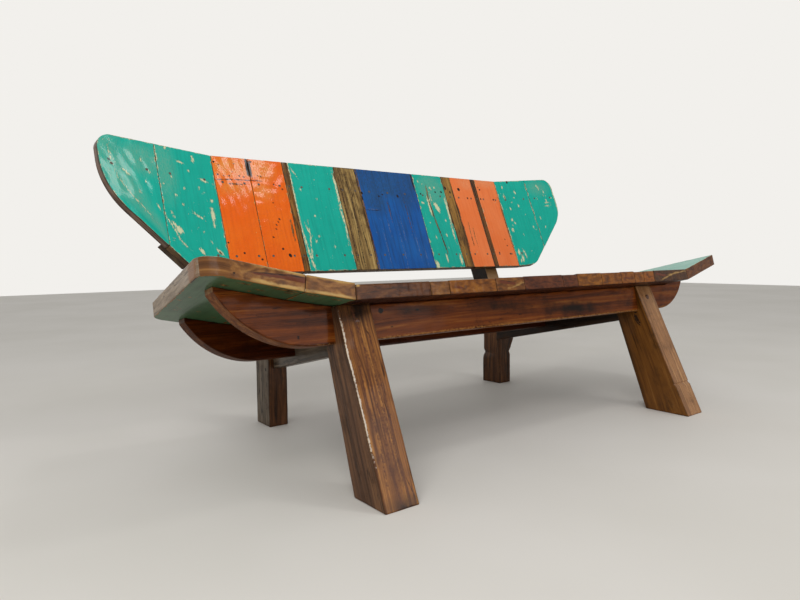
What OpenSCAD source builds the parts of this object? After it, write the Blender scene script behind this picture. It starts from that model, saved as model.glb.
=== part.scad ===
// Settle built from reclaimed boat timber: a reclined back of upright painted boards whose
// two ends bend forward, a seat of short boards with lifted ends, two beams under the seat,
// splayed front legs, and rear legs that run on upward to carry the back.
// Units are millimetres. +X runs along the settle, +Y to its back, +Z up.
// The origin is the centre of the bounding box on the floor.

/* [Seat] */
// Height of the seat's front edge above the floor
seat_h = 451; // [420:1:480]
// Length of the seat between its two lifted ends
seat_len = 1848; // [1700:1:2000]
// Depth of the seat boards, front to back
seat_depth = 515; // [470:1:560]
// Thickness of the seat boards
seat_t = 36; // [30:1:42]
// Fall of the seat towards the back, in degrees
seat_fall = 12.5; // [10:0.5:15]
// Lift of the left end's outer board, in degrees
lift_left = 12.5; // [8:0.5:16]
// Lift of the left end's inner board, in degrees
lift_left_inner = 10.5; // [4:0.5:12]
// Lift of the right end's board, in degrees
lift_right = 13.5; // [8:0.5:16]
// Amount by which the seat's left end narrows inward towards the back
taper_left = 51; // [0:1:70]
// Amount by which the seat's right end narrows inward towards the back
taper_right = 26; // [0:1:60]
// Radius of the seat's worn front left corner
corner_left = 50; // [20:1:80]
// Radius of the seat's front right corner
corner_right = 9; // [4:1:30]
// Radius of the seat's two rear corners
corner_rear = 30; // [10:1:50]

/* [Back] */
// Distance from the seat's front edge to the back's lower edge, along Y
sit_depth = 637; // [590:1:680]
// Height of the back's lower edge above the floor
back_bottom_h = 461; // [430:1:490]
// Height of the back boards along their slope
back_h = 383; // [350:1:420]
// Lean of the back from upright, in degrees
back_lean = 22.3; // [18:0.1:26]
// Length of the back's straight middle stretch
back_mid = 1220; // [1120:1:1320]
// Length of the left wing beyond its bend
wing_left = 336; // [290:1:360]
// Length of the right wing beyond its bend
wing_right = 297; // [260:1:330]
// Forward bend of each wing, in degrees
wing_bend = 11.4; // [6:0.1:15]
// Thickness of the back boards
back_t = 24; // [20:1:30]
// Radius of each wing's top corner
wing_top_r = 42; // [20:1:60]
// Radius of the left wing's long outer curve
wing_left_r = 205; // [150:1:240]
// Height below the top edge at which the left wing's outer curve begins
wing_left_drop = 70; // [50:1:100]
// Radius of the right wing's long outer curve
wing_right_r = 140; // [100:1:170]
// Height below the top edge at which the right wing's outer curve begins
wing_right_drop = 115; // [90:1:150]
// Radius of each wing's bottom corner
wing_bottom_r = 60; // [30:1:90]
// Thickness of the two battens behind the back boards
batten_t = 20; // [16:1:26]
// Height of the two battens
batten_h = 62; // [50:1:75]

/* [Beams and rails] */
// Thickness of the two beams under the seat
beam_t = 45; // [38:1:52]
// Height of the two beams below the seat boards
beam_h = 80; // [72:1:90]
// Reach of the front beam to the left of the settle's middle
beam_left = 875; // [810:1:910]
// Reach of the front beam to the right of the settle's middle
beam_right = 839; // [790:1:890]
// Reach of the rear beam to either side of the settle's middle
rear_reach = 819; // [770:1:860]
// Radius of the front beam's upswept left end
beam_sweep = 238; // [200:1:270]
// Radius of the front beam's upswept right end
beam_round = 200; // [150:1:230]
// Radius of both upswept ends of the rear beam
rear_sweep = 212; // [180:1:240]
// Distance from the seat's rear edge to the rear beam
rear_overhang = 30; // [10:1:80]
// Thickness of the side rails
rail_t = 47; // [40:1:52]
// Height of the side rails
rail_h = 80; // [70:1:90]
// Depth of the side rails' lower edge below the beams' lower edge
rail_drop = 22; // [15:1:30]

/* [Legs] */
// Spacing of the front legs' centres
front_span = 1154; // [1050:1:1260]
// Width of each front leg along X
front_w = 86; // [78:1:94]
// Depth of the front left leg on the floor
foot_left = 114; // [104:1:130]
// Depth of the front right leg on the floor
foot_right = 143; // [125:1:155]
// Loss of depth of each front leg from the floor to the height of the seat's front edge
leg_taper = 42; // [20:1:55]
// Slope of the front left leg's front face from upright, in degrees
splay_left = 23; // [21:0.5:25]
// Slope of the front right leg's front face from upright, in degrees
splay_right = 25; // [23:0.5:27]
// Timber left in front of the beam at the top of the leg whose face is nearest to it
front_cheek = 6; // [5:1:14]
// Distance by which the front legs' toes stand ahead of the seat's front edge
toe_ahead = 117; // [100:1:135]
// Height of the old saw cut across the front right leg
notch_h = 96; // [60:1:140]
// Height of the old bolt hole in the rear left leg
old_hole_h = 172; // [120:1:180]
// Spacing of the rear legs' centres
rear_span = 982; // [900:1:1060]
// Width of each rear leg along X
rear_w = 60; // [54:1:66]
// Depth of each rear leg along Y
rear_d = 88; // [80:1:100]
// Height of the bend at the front of each rear leg
knee_h = 267; // [255:1:290]
// Distance from the back's top edge down to the tops of the rear legs
post_drop = 40; // [20:1:60]

/* [Fastenings] */
// Radius of the screw heads
screw_head_r = 4; // [3.5:0.5:5]
// Radius of the screw shanks
screw_r = 2.2; // [2:0.1:3]
// Radius of the bolt shanks
bolt_r = 5; // [4:0.5:6]
// Radius of the plugs over the bolts in the front legs
plug_r = 8; // [7:0.5:10]

/* [Hidden] */
gap = 0.8; // open seam between neighbouring boards
fit = 0.2; // clearance between pieces that rest on or in one another
over = 1; // run of a cut past the face it opens
head_h = 3; // height of a screw head
sink = 1.2; // depth of a screw head below the surface
seat_bite = 20; // length of a seat screw in its beam
back_bite = 16; // length of a back screw or bolt in its batten
bolt_bite = 35; // length of a leg bolt in the beam
slot_wall = 15; // least timber left behind the beam at the top of a front leg
bolt_head_h = 6; // height of a leg bolt's head
plug_h = 7; // length of a plug at its centre
washer_r = 11; // radius of the washers behind the rear legs
washer_h = 2; // thickness of those washers
batten_stop = 20; // distance from the upper batten's ends to the wings' ends
tenon_t = 22; // thickness of the rails' tenons
tenon_h = 16; // height of the rails' tenons
tenon_up = 4; // height of a tenon's lower edge above its rail's lower edge
tenon_front = 40; // length of the tenons in the front legs
tenon_rear = 52; // length of the tenons in the rear legs
rail_flush = 3; // offset of each rail's inner face from its legs' inner faces
notch_d = 5; // depth of the saw cut in the front right leg
planed = 2; // wood planed off that leg above the cut
old_hole_r = 5; // radius of the old bolt hole
old_hole_in = 20; // distance of the old hole behind the leg's front face
arc_n = 12; // steps on each drawn arc
cyl_n = 24; // facets asked of each cylinder

teal = [0.06, 0.65, 0.55];
orange = [0.93, 0.42, 0.12];
blue = [0.10, 0.28, 0.62];
bare = [0.47, 0.36, 0.20];
leg_wood = [0.50, 0.28, 0.12];
beam_wood = [0.38, 0.16, 0.07];
grey_wood = [0.36, 0.31, 0.26];
steel = [0.22, 0.20, 0.19];

// The seat in section. Its boards lie side by side along X, their tops on a line that lifts
// at both ends. Each board's width is its share of the whole length.
seat_share = [207, 112, 200, 57, 154, 104, 156, 65, 112, 97, 71, 50, 59, 201, 203] / 1848;
// wear taken off the top of each board
seat_worn = [0, 0, 3, 4, 3, 2, 1, 2, 0, 1, 0, 2, 1, 0, 0];
seat_n = len(seat_share);
seat_angle = [for (i = [0 : seat_n - 1])
  i == 0 ? -lift_left : i == 1 ? -lift_left_inner : i == seat_n - 1 ? lift_right : 0];

function sum_to(v, i) = i <= 0 ? 0 : v[i - 1] + sum_to(v, i - 1);
function at(v, i) = v[max(0, min(len(v) - 1, i))];
// offset that keeps a distance t from both of two stretches, at angles a and b, where they meet
function mitre(a, b, t) = t / cos((b - a) / 2) * [-sin((a + b) / 2), cos((a + b) / 2)];
// half a seam, taken off a board's edge where another board follows
function seam(i, n, a) = i == 0 || i == n ? [0, 0] : gap / 2 * [cos(a), sin(a)];

function seat_x(i) = (sum_to(seat_share, i) - 0.5) * seat_len;
function seat_top(x) =
  x < seat_x(1) ? (seat_x(2) - seat_x(1)) * tan(lift_left_inner) + (seat_x(1) - x) * tan(lift_left) :
  x < seat_x(2) ? (seat_x(2) - x) * tan(lift_left_inner) :
  x > seat_x(seat_n - 1) ? (x - seat_x(seat_n - 1)) * tan(lift_right) : 0;
function seat_lift(x) = x < seat_x(1) ? lift_left : x < seat_x(2) ? lift_left_inner :
  x > seat_x(seat_n - 1) ? lift_right : 0;
function seat_under(x) = seat_top(x) - (seat_t + fit) / cos(seat_lift(x));
function seat_pt(i) = [seat_x(i), seat_top(seat_x(i))];
function seat_off(i, t) = mitre(at(seat_angle, i - 1), at(seat_angle, i), -t);
// how far the underside of the lifted right end reaches out past its top
seat_tip = seat_t * sin(lift_right);

// The back in section, seen along its slope. The front faces of its boards lie on a line that
// bends forward at both wings. Two boards make up each wing.
back_share = [116, 119, 20, 175, 87, 258, 146, 46, 112, 23, 118] / 1220;
wing_split = 0.53; // place of the joint in each wing, as a share of its length
back_n = len(back_share) + 4;
half_mid = back_mid / 2;
back_angle = [for (i = [0 : back_n - 1]) i < 2 ? wing_bend : i > back_n - 3 ? -wing_bend : 0];
function wing_pt(side, u) = [side * (half_mid + u * cos(wing_bend)), -u * sin(wing_bend)];
function back_pt(i) =
  i == 0 ? wing_pt(-1, wing_left) : i == 1 ? wing_pt(-1, wing_split * wing_left) :
  i == back_n ? wing_pt(1, wing_right) : i == back_n - 1 ? wing_pt(1, wing_split * wing_right) :
  [back_mid * sum_to(back_share, i - 2) - half_mid, 0];
function back_off(i, t) = mitre(at(back_angle, i - 1), at(back_angle, i), t);
// the blanks of the end boards run past the wings, whose outline trims them
function back_end(i) =
  i == 0 ? wing_pt(-1, wing_left + back_t) :
  i == back_n ? wing_pt(1, wing_right + back_t) : back_pt(i);
upper_a = -88; // middle of the upper batten below the back's top edge
lower_up = 53; // middle of the lower batten above the back's lower edge
lower_a = lower_up - back_h;

// The back's frame has its first axis along X, its second square to the boards towards the rear
// and its third up the slope, from the middle of the top edge.
back_y = toe_ahead + sit_depth;
top_y = back_y + back_h * sin(back_lean);
top_z = back_bottom_h + back_h * cos(back_lean);
post_n = back_t + batten_t + 2 * fit;
post_d = rear_d * cos(back_lean);
knee_y = back_y + post_n * cos(back_lean)
  + (knee_h - back_bottom_h + post_n * sin(back_lean)) * tan(back_lean);

// The seat's frame has its first axis along X, its second (v) back along the seat and its third
// (w) square to the seat, from the middle of the front edge.
// Each front leg has its own depth and slopes: s is -1 for the left one and 1 for the right one.
function foot_d(s) = s < 0 ? foot_left : foot_right;
function front_slope(s) = tan(s < 0 ? splay_left : splay_right);
function rear_slope(s) = front_slope(s) - leg_taper / seat_h;
// v at which a leg face that stands at y = c on the floor and leans by m crosses the depth w
function leg_v(c, m, w) = (c + (seat_h + w * cos(seat_fall)) * m - toe_ahead - w * sin(seat_fall))
  / (cos(seat_fall) + sin(seat_fall) * m);
under_w = -seat_t - fit;
beam_w = under_w - beam_h;
beam_v = max(leg_v(0, front_slope(-1), under_w), leg_v(0, front_slope(1), under_w)) + front_cheek;
rear_v = seat_depth - rear_overhang - beam_t;
rail_w = beam_w - rail_drop;
rail_mid = rail_w + rail_h / 2;
function rail_front_v(s) = leg_v(foot_d(s), rear_slope(s), rail_mid);
rail_rear_v = (knee_y - toe_ahead - rail_mid * sin(seat_fall)) / cos(seat_fall);
rail_front_x = (front_span - front_w + rail_t) / 2 + rail_flush;
rail_rear_x = (rear_span - rear_w + rail_t) / 2 - rail_flush;
function rail_turn(s) = atan((rail_front_x - rail_rear_x) / (rail_rear_v - rail_front_v(s)));
function rail_len(s) = (rail_rear_v - rail_front_v(s)) / cos(rail_turn(s));
lap_w = (beam_w + rail_w + rail_h) / 2;
bolt_w = (under_w + beam_w) / 2;
function cheek_mid(s) = beam_v - leg_v(0, front_slope(s), bolt_w);

// The whole settle's reach, from which it is centred. The front legs' toes stand at y = 0.
x_low = min(-seat_len / 2, -half_mid - wing_left * cos(wing_bend) - back_t * sin(wing_bend));
x_high = max(seat_len / 2 + seat_tip, half_mid + wing_right * cos(wing_bend) + back_t * sin(wing_bend));
y_high = top_y + (post_n + post_d) * cos(back_lean) - post_drop * sin(back_lean);

function arc(c, r, a0, a1) =
  [for (i = [0 : arc_n]) let (a = a0 + (a1 - a0) * i / arc_n) c + r * [cos(a), sin(a)]];

module place() translate([-(x_low + x_high) / 2, -y_high / 2, 0]) children();
module in_seat() translate([0, toe_ahead, seat_h]) rotate([-seat_fall, 0, 0]) children();
module in_back() translate([0, top_y, top_z]) rotate([-back_lean, 0, 0]) children();
// a section drawn across X and the third axis, run along the second axis from a to b
module run(a, b) translate([0, b, 0]) rotate([90, 0, 0]) linear_extrude(b - a) children();
// a side view drawn in Y and Z, w wide and centred on x
module side_view(x, w) translate([x - w / 2, 0, 0]) rotate([90, 0, 90]) linear_extrude(w) children();
module drill(r, from, to) translate([0, 0, from]) cylinder(r = r, h = to - from, $fn = cyl_n);
// what is drawn for the right side, put on the side s
module on_side(s) mirror([s < 0 ? 1 : 0, 0, 0]) children();

// Seat boards
module seat_plan() {
  x0 = -seat_len / 2;
  x1 = seat_len / 2 + seat_tip;
  left = atan(taper_left / seat_depth);
  right = atan(taper_right / seat_depth);
  back_v = seat_depth - corner_rear;
  translate([0, 0, -3 * seat_t]) linear_extrude(9 * seat_t) polygon(concat(
    arc([x0 + corner_left, corner_left], corner_left, -90, -180 - left),
    arc([x0 + taper_left + corner_rear, back_v], corner_rear, 180 - left, 90),
    arc([x1 - taper_right - corner_rear, back_v], corner_rear, 90, right),
    arc([x1 - corner_right, corner_right], corner_right, right, -90)
  ));
}

module seat_blank(i) {
  worn = [0, seat_worn[i]];
  left = seam(i, seat_n, seat_angle[i]);
  right = seam(i + 1, seat_n, seat_angle[i]);
  run(0, seat_depth) polygon([
    seat_pt(i) + left - worn,
    seat_pt(i + 1) - right - worn,
    seat_pt(i + 1) + seat_off(i + 1, seat_t) - right,
    seat_pt(i) + seat_off(i, seat_t) + left
  ]);
}

module seat_board(i, tint) {
  color(tint) place() in_seat() difference() {
    if (i == 0 || i == seat_n - 1) intersection() {
      seat_blank(i);
      seat_plan();
    }
    else seat_blank(i);
    seat_screw_places(i) screw(seat_t + seat_bite, fit);
  }
}

// screw stations across a board, as shares of its width; the end boards' are over the beams
function seat_shares(i) = i == 0 ? [0.62, 0.85] : i == seat_n - 1 ? [0.12, 0.3] :
  seat_share[i] * seat_len > 68 ? [0.22, 0.78] : [0.5];

module seat_screw_places(i) {
  for (s = seat_shares(i), v = [beam_v + beam_t / 2, rear_v + beam_t / 2]) {
    x = seat_x(i) + s * (seat_x(i + 1) - seat_x(i));
    translate([x, v, seat_top(x) - seat_worn[i]]) rotate([0, 180 - seat_angle[i], 0]) children();
  }
}

// one screw driven up the third axis from a face at 0 to a depth, or its hole when g is set
module screw(depth, g = 0) {
  drill(screw_r + g, sink + head_h / 2, depth + g);
  drill(screw_head_r + g, g > 0 ? -over : sink, sink + head_h + g);
}

// Back boards
// outline of a wing: a rounded top corner, a long curve, a slanting run and a rounded bottom
module wing(side, length, r, drop) {
  p = [length - r + r * cos(45), -drop - r * sin(45)];
  foot_r = wing_bottom_r;
  foot_x = p[0] - (p[1] + back_h - foot_r * (1 - sin(45))) - foot_r * cos(45);
  translate([side * half_mid, 0, 0]) rotate([0, 0, -side * wing_bend]) mirror([side < 0 ? 1 : 0, 0, 0])
    run(-back_t, post_n + back_t) polygon(concat(
      [[-2 * back_t, -back_h], [-2 * back_t, 0]],
      arc([length - wing_top_r, -wing_top_r], wing_top_r, 90, 0),
      arc([length - r, -drop], r, 0, -45),
      arc([foot_x, foot_r - back_h], foot_r, -45, -90)
    ));
}

module left_wing() wing(-1, wing_left, wing_left_r, wing_left_drop);
module right_wing() wing(1, wing_right, wing_right_r, wing_right_drop);

module back_blank(i) {
  left = seam(i, back_n, back_angle[i]);
  right = seam(i + 1, back_n, back_angle[i]);
  translate([0, 0, -back_h]) linear_extrude(back_h) polygon([
    back_end(i) + left,
    back_end(i + 1) - right,
    back_end(i + 1) + back_off(i + 1, back_t) - right,
    back_end(i) + back_off(i, back_t) + left
  ]);
}

module back_board(i, tint) {
  color(tint) place() in_back() difference() {
    if (i < 2) intersection() {
      back_blank(i);
      left_wing();
    }
    else if (i > back_n - 3) intersection() {
      back_blank(i);
      right_wing();
    }
    else back_blank(i);
    back_screw_places(i) screw(back_t + back_bite, fit);
  }
}

function back_w(i) = norm(back_pt(i + 1) - back_pt(i));
function back_shares(i) = back_w(i) > 200 ? [0.16, 0.47, 0.78] : back_w(i) > 68 ? [0.2, 0.8] : [0.5];
// the lower batten stops at the wings' slanting edge, short of the outer screws
function low_shares(i) = i == 0 || i == back_n - 1 ? [] : i == 1 ? [0.8] : i == back_n - 2 ? [0.2] :
  back_shares(i);

module back_screw_row(i, a, shares) {
  for (s = shares) {
    p = back_pt(i) + s * (back_pt(i + 1) - back_pt(i));
    translate([p[0], p[1], a]) rotate([0, 0, back_angle[i]]) rotate([-90, 0, 0]) children();
  }
}

module back_screw_places(i) {
  back_screw_row(i, upper_a, back_shares(i)) children();
  back_screw_row(i, lower_a, low_shares(i)) children();
}

// a batten behind the boards, bent with both wings, centred at a up the slope
module batten(a, left_u, right_u) {
  ends = [wing_pt(-1, left_u), [-half_mid, 0], [half_mid, 0], wing_pt(1, right_u)];
  turn = [wing_bend, 0, -wing_bend];
  front = [for (k = [0 : 3]) ends[k] + mitre(at(turn, k - 1), at(turn, k), back_t + fit)];
  rear = [for (k = [3 : -1 : 0]) ends[k] + mitre(at(turn, k - 1), at(turn, k), back_t + fit + batten_t)];
  color(grey_wood) place() in_back() difference() {
    intersection() {
      translate([0, 0, a - batten_h / 2]) linear_extrude(batten_h) polygon(concat(front, rear));
      union() {
        left_wing();
        right_wing();
        translate([-half_mid, -back_t, -back_h]) cube([back_mid, post_n + 2 * back_t, back_h]);
      }
    }
    for (i = [0 : back_n - 1]) back_screw_places(i) screw(back_t + back_bite, fit);
    back_bolt_places() drill(bolt_r + fit, -over, post_d + fit + back_bite + fit);
  }
}

// Beams
// angle and run of an end's curve of radius r that stops just short of the beam's top corner
function end_turn(x, r) = acos(max(0, (r - (seat_under(x) - beam_w) + 10) / r));
function end_run(x, r) = r * sin(end_turn(x, r));

// a beam from x0 to x1 whose top follows the seat's underside and whose ends sweep up, its front
// face at v
module beam_blank(v, x0, x1, left_r, right_r) {
  translate([0, v, 0]) run(0, beam_t) polygon(concat(
    [[x0, seat_under(x0)]],
    [for (i = [1, 2, seat_n - 1]) seat_pt(i) + seat_off(i, seat_t + fit)],
    [[x1, seat_under(x1)]],
    arc([x1 - end_run(x1, right_r), beam_w + right_r], right_r, end_turn(x1, right_r) - 90, -90),
    arc([x0 + end_run(x0, left_r), beam_w + left_r], left_r, -90, -90 - end_turn(x0, left_r))
  ));
}

module seat_screw_holes() {
  for (i = [0 : seat_n - 1]) seat_screw_places(i) screw(seat_t + seat_bite, fit);
}

// Side rails
// one straight bar in the seat's frame, of width w and from height a to b above the rail's foot,
// which starts and ends past the legs' faces by the lengths given
module rail_bar(s, w, a, b, ahead, behind) {
  translate([rail_front_x, rail_front_v(s), rail_w]) rotate([0, 0, rail_turn(s)])
    translate([-w / 2, -ahead, a]) cube([w, ahead + rail_len(s) + behind, b - a]);
}

module tenons(s, g) {
  rail_bar(s, tenon_t + 2 * g, tenon_up - g, tenon_up + tenon_h + g, tenon_front + g, tenon_rear + g);
}

// the space that a beam takes on the right side, from its front face at v and over the height w
module beam_room(v, w, depth) {
  translate([0, v - fit, w]) cube([seat_len / 2, depth + 2 * fit, 2 * beam_h]);
}

module side_rail(s) {
  difference() {
    in_seat() rail_bar(s, rail_t, 0, rail_h, rail_h, rail_h);
    side_view(front_span / 2, 4 * front_w) front_leg_reach(s, fit);
    side_view(rear_span / 2, 6 * rear_w) rear_leg_reach(fit);
    in_seat() {
      beam_room(beam_v, beam_w - fit, beam_t);
      beam_room(rear_v, lap_w, beam_t);
    }
  }
  in_seat() difference() {
    tenons(s, 0);
    rail_bar(s, 2 * rail_t, -over, rail_h + over, -over, -over);
  }
}

// everything ahead of the front legs' rear faces, and everything behind the rear legs' front ones
module front_leg_reach(s, g) {
  face_y = foot_d(s) + g;
  polygon([
    [-seat_h, -over], [face_y - over * rear_slope(s), -over],
    [face_y + seat_h * rear_slope(s), seat_h], [-seat_h, seat_h]
  ]);
}

module rear_leg_reach(g) {
  far = knee_y + seat_h;
  polygon([
    [knee_y - g, -over], [knee_y - g, knee_h], [knee_y - g + seat_h * tan(back_lean), knee_h + seat_h],
    [far, knee_h + seat_h], [far, -over]
  ]);
}

// Front legs
// height at which a leg face that stands at y = c on the floor and leans by m meets the seat's
// underside
function leg_top_z(c, m) = (under_w + toe_ahead * sin(seat_fall) + seat_h * cos(seat_fall)
  - c * sin(seat_fall)) / (m * sin(seat_fall) + cos(seat_fall));

// The right leg has been planed above an old saw cut.
module front_leg_blank(s) {
  slope = front_slope(s);
  cut = s < 0 ? 0 : planed;
  front_z = leg_top_z(cut, slope);
  rear_z = leg_top_z(foot_d(s), rear_slope(s));
  saw = [
    [cut + notch_h * slope, notch_h],
    [notch_d + (notch_h - 3) * slope, notch_h - 3],
    [(notch_h - 9) * slope, notch_h - 9]
  ];
  side_view(front_span / 2, front_w) polygon(concat(
    [
      [0, 0], [foot_d(s), 0], [foot_d(s) + rear_z * rear_slope(s), rear_z],
      [cut + front_z * slope, front_z]
    ],
    s < 0 ? [] : saw
  ));
}

// The beam sits on a shoulder in the leg's top. The slot is open behind where too little timber
// would be left there.
module front_leg(s) {
  wall = leg_v(foot_d(s), rear_slope(s), beam_w) - beam_v - beam_t;
  difference() {
    front_leg_blank(s);
    in_seat() {
      beam_room(beam_v, beam_w - fit, wall < slot_wall ? 2 * beam_t : beam_t);
      tenons(s, fit);
      leg_bolt_place() leg_bolt_hole(s);
    }
  }
}

// bolts run back through the front cheek of each front leg into the beam
module leg_bolt_place() translate([front_span / 2, beam_v, bolt_w]) rotate([-90, 0, 0]) children();

module leg_bolt_hole(s) {
  drill(bolt_r + fit, -cheek_mid(s), bolt_bite + fit);
  drill(plug_r + fit, -2 * cheek_mid(s), plug_h - cheek_mid(s) + bolt_head_h + fit);
}

module leg_bolt(s) {
  drill(bolt_r, plug_h - cheek_mid(s) + over, bolt_bite);
  drill(plug_r, plug_h - cheek_mid(s), plug_h - cheek_mid(s) + bolt_head_h);
}

module leg_plug(s) intersection() {
  in_seat() leg_bolt_place() drill(plug_r, -2 * cheek_mid(s), plug_h - cheek_mid(s) - fit);
  front_leg_blank(s);
}

// Rear legs, each one bent piece with the post that carries the back
module rear_leg(s) {
  a = back_h - post_drop;
  front_top = [back_y + post_n * cos(back_lean) + a * sin(back_lean),
    back_bottom_h - post_n * sin(back_lean) + a * cos(back_lean)];
  difference() {
    side_view(rear_span / 2, rear_w) polygon([
      [knee_y, 0], [knee_y + rear_d, 0], [knee_y + rear_d, knee_h],
      front_top + post_d * [cos(back_lean), -sin(back_lean)], front_top, [knee_y, knee_h]
    ]);
    in_seat() tenons(s, fit);
    in_back() back_bolt_places() drill(bolt_r + fit, -over, post_d + over);
  }
}

module old_hole() {
  translate([(rear_span + rear_w) / 2 + over, knee_y + old_hole_in, old_hole_h]) rotate([0, -90, 0])
    drill(old_hole_r, 0, rear_w / 2);
}

// bolts run forward from the back of each post into the battens
module back_bolt_places() {
  for (side = [-1, 1], a = [upper_a + 12, lower_a - 10])
    translate([side * rear_span / 2, post_n + post_d, a]) rotate([90, 0, 0]) children();
}

module back_bolt() {
  drill(bolt_r, -washer_h, post_d + fit + back_bite);
  drill(washer_r, -fit - washer_h, -fit);
  drill(1.4 * bolt_r, -fit - washer_h - 1.2 * bolt_r, -washer_h);
}

module seat_board_01() seat_board(0, teal);
module seat_board_02() seat_board(1, teal);
module seat_board_03() seat_board(2, bare);
module seat_board_04() seat_board(3, bare);
module seat_board_05() seat_board(4, bare);
module seat_board_06() seat_board(5, bare);
module seat_board_07() seat_board(6, bare);
module seat_board_08() seat_board(7, bare);
module seat_board_09() seat_board(8, bare);
module seat_board_10() seat_board(9, bare);
module seat_board_11() seat_board(10, bare);
module seat_board_12() seat_board(11, bare);
module seat_board_13() seat_board(12, bare);
module seat_board_14() seat_board(13, bare);
module seat_board_15() seat_board(14, teal);
module back_board_01() back_board(0, teal);
module back_board_02() back_board(1, teal);
module back_board_03() back_board(2, orange);
module back_board_04() back_board(3, orange);
module back_board_05() back_board(4, bare);
module back_board_06() back_board(5, teal);
module back_board_07() back_board(6, bare);
module back_board_08() back_board(7, blue);
module back_board_09() back_board(8, teal);
module back_board_10() back_board(9, bare);
module back_board_11() back_board(10, orange);
module back_board_12() back_board(11, bare);
module back_board_13() back_board(12, orange);
module back_board_14() back_board(13, teal);
module back_board_15() back_board(14, teal);
module upper_batten() batten(upper_a, wing_left - batten_stop, wing_right - batten_stop);
module lower_batten() batten(lower_a, wing_left, wing_right);
module front_beam() color(beam_wood) place() in_seat() difference() {
  beam_blank(beam_v, -beam_left, beam_right, beam_sweep, beam_round);
  seat_screw_holes();
  for (s = [-1, 1]) on_side(s) leg_bolt_place() leg_bolt_hole(s);
}
module rear_beam() color(beam_wood) place() in_seat() difference() {
  beam_blank(rear_v, -rear_reach, rear_reach, rear_sweep, rear_sweep);
  seat_screw_holes();
  for (s = [-1, 1]) on_side(s) rail_bar(s, rail_t + 2 * fit, -over, lap_w - rail_w + fit, 0, 0);
}
module side_rail_left() color(grey_wood) place() on_side(-1) side_rail(-1);
module side_rail_right() color(grey_wood) place() side_rail(1);
module front_leg_left() color(leg_wood) place() on_side(-1) front_leg(-1);
module front_leg_right() color(leg_wood) place() front_leg(1);
module rear_leg_left() color(leg_wood) place() on_side(-1) difference() {
  rear_leg(-1);
  old_hole();
}
module rear_leg_right() color(leg_wood) place() rear_leg(1);
module seat_screws() color(steel) place() in_seat()
  for (i = [0 : seat_n - 1]) seat_screw_places(i) screw(seat_t + seat_bite);
module back_screws() color(steel) place() in_back()
  for (i = [0 : back_n - 1]) back_screw_places(i) screw(back_t + back_bite);
module leg_bolts() color(steel) place() in_seat()
  for (s = [-1, 1]) on_side(s) leg_bolt_place() leg_bolt(s);
module leg_plugs() color(bare) place() for (s = [-1, 1]) on_side(s) leg_plug(s);
module back_bolts() color(steel) place() in_back() back_bolt_places() back_bolt();

seat_board_01();
seat_board_02();
seat_board_03();
seat_board_04();
seat_board_05();
seat_board_06();
seat_board_07();
seat_board_08();
seat_board_09();
seat_board_10();
seat_board_11();
seat_board_12();
seat_board_13();
seat_board_14();
seat_board_15();
back_board_01();
back_board_02();
back_board_03();
back_board_04();
back_board_05();
back_board_06();
back_board_07();
back_board_08();
back_board_09();
back_board_10();
back_board_11();
back_board_12();
back_board_13();
back_board_14();
back_board_15();
upper_batten();
lower_batten();
front_beam();
rear_beam();
side_rail_left();
side_rail_right();
front_leg_left();
front_leg_right();
rear_leg_left();
rear_leg_right();
seat_screws();
back_screws();
leg_bolts();
leg_plugs();
back_bolts();
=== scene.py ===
"""Settle of reclaimed boat timber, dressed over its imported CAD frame.

Lengths in the classes are millimetres. Meshes are in metres, in the frame's own axes.
"""
import logging
import math
from dataclasses import dataclass, field, fields, replace
from enum import Enum
from functools import partial
from typing import Any, Callable

import bpy
import numpy as np
from mathutils import Matrix, Vector


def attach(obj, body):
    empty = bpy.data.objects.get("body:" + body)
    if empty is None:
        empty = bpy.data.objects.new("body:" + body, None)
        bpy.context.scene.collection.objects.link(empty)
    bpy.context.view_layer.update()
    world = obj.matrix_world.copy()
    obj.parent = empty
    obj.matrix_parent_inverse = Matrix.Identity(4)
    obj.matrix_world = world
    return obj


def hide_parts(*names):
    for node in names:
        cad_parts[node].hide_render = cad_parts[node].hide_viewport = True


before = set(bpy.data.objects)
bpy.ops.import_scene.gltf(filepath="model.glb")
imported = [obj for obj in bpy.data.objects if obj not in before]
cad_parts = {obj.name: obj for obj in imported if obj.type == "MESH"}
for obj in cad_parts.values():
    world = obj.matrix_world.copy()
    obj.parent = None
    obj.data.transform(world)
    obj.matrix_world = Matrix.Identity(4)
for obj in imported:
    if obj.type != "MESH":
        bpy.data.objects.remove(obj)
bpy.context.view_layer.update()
LOG = logging.getLogger("settle")
MM = 0.001
LAST = 14  # the back and the seat have fifteen boards each, 0 to 14
CLEAR = 0.2  # room between two timbers that meet
FINEST = 0.2  # least step between two lines of a grid
WAVES = 6  # sine waves in a ripple
FULL_TURN = 6.28
MARK_REACH = 4.0  # depth under a marked side down to which its marks are written
Array = np.ndarray
AddNode = Callable[..., bpy.types.Node]  # add_node for one tree
Bend = Callable[[Array], Array]
Tones = tuple[str, ...]
Station = tuple[Array, Array]


def linear(code: str) -> tuple[float, float, float, float]:
    """Turns an sRGB hex colour into linear light.

    Args:
        code: six hex digits after a #.

    Returns:
        Red, green, blue and an alpha of 1.
    """
    parts = [int(code[i:i + 2], 16) / 255 for i in (1, 3, 5)]
    light = [p / 12.92 if p <= 0.04045 else ((p + 0.055) / 1.055) ** 2.4 for p in parts]
    return (light[0], light[1], light[2], 1.0)


def cos_sin(degrees: float) -> tuple[float, float]:
    """Gives an angle's cosine and sine."""
    return math.cos(math.radians(degrees)), math.sin(math.radians(degrees))


def stand(name: str, data: Any) -> bpy.types.Object:
    """Makes an object and links it to the scene.

    Args:
        name: the object's name.
        data: its mesh, lamp or camera.

    Returns:
        The object.
    """
    made = bpy.data.objects.new(name, data)
    bpy.context.scene.collection.objects.link(made)
    return made


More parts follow.
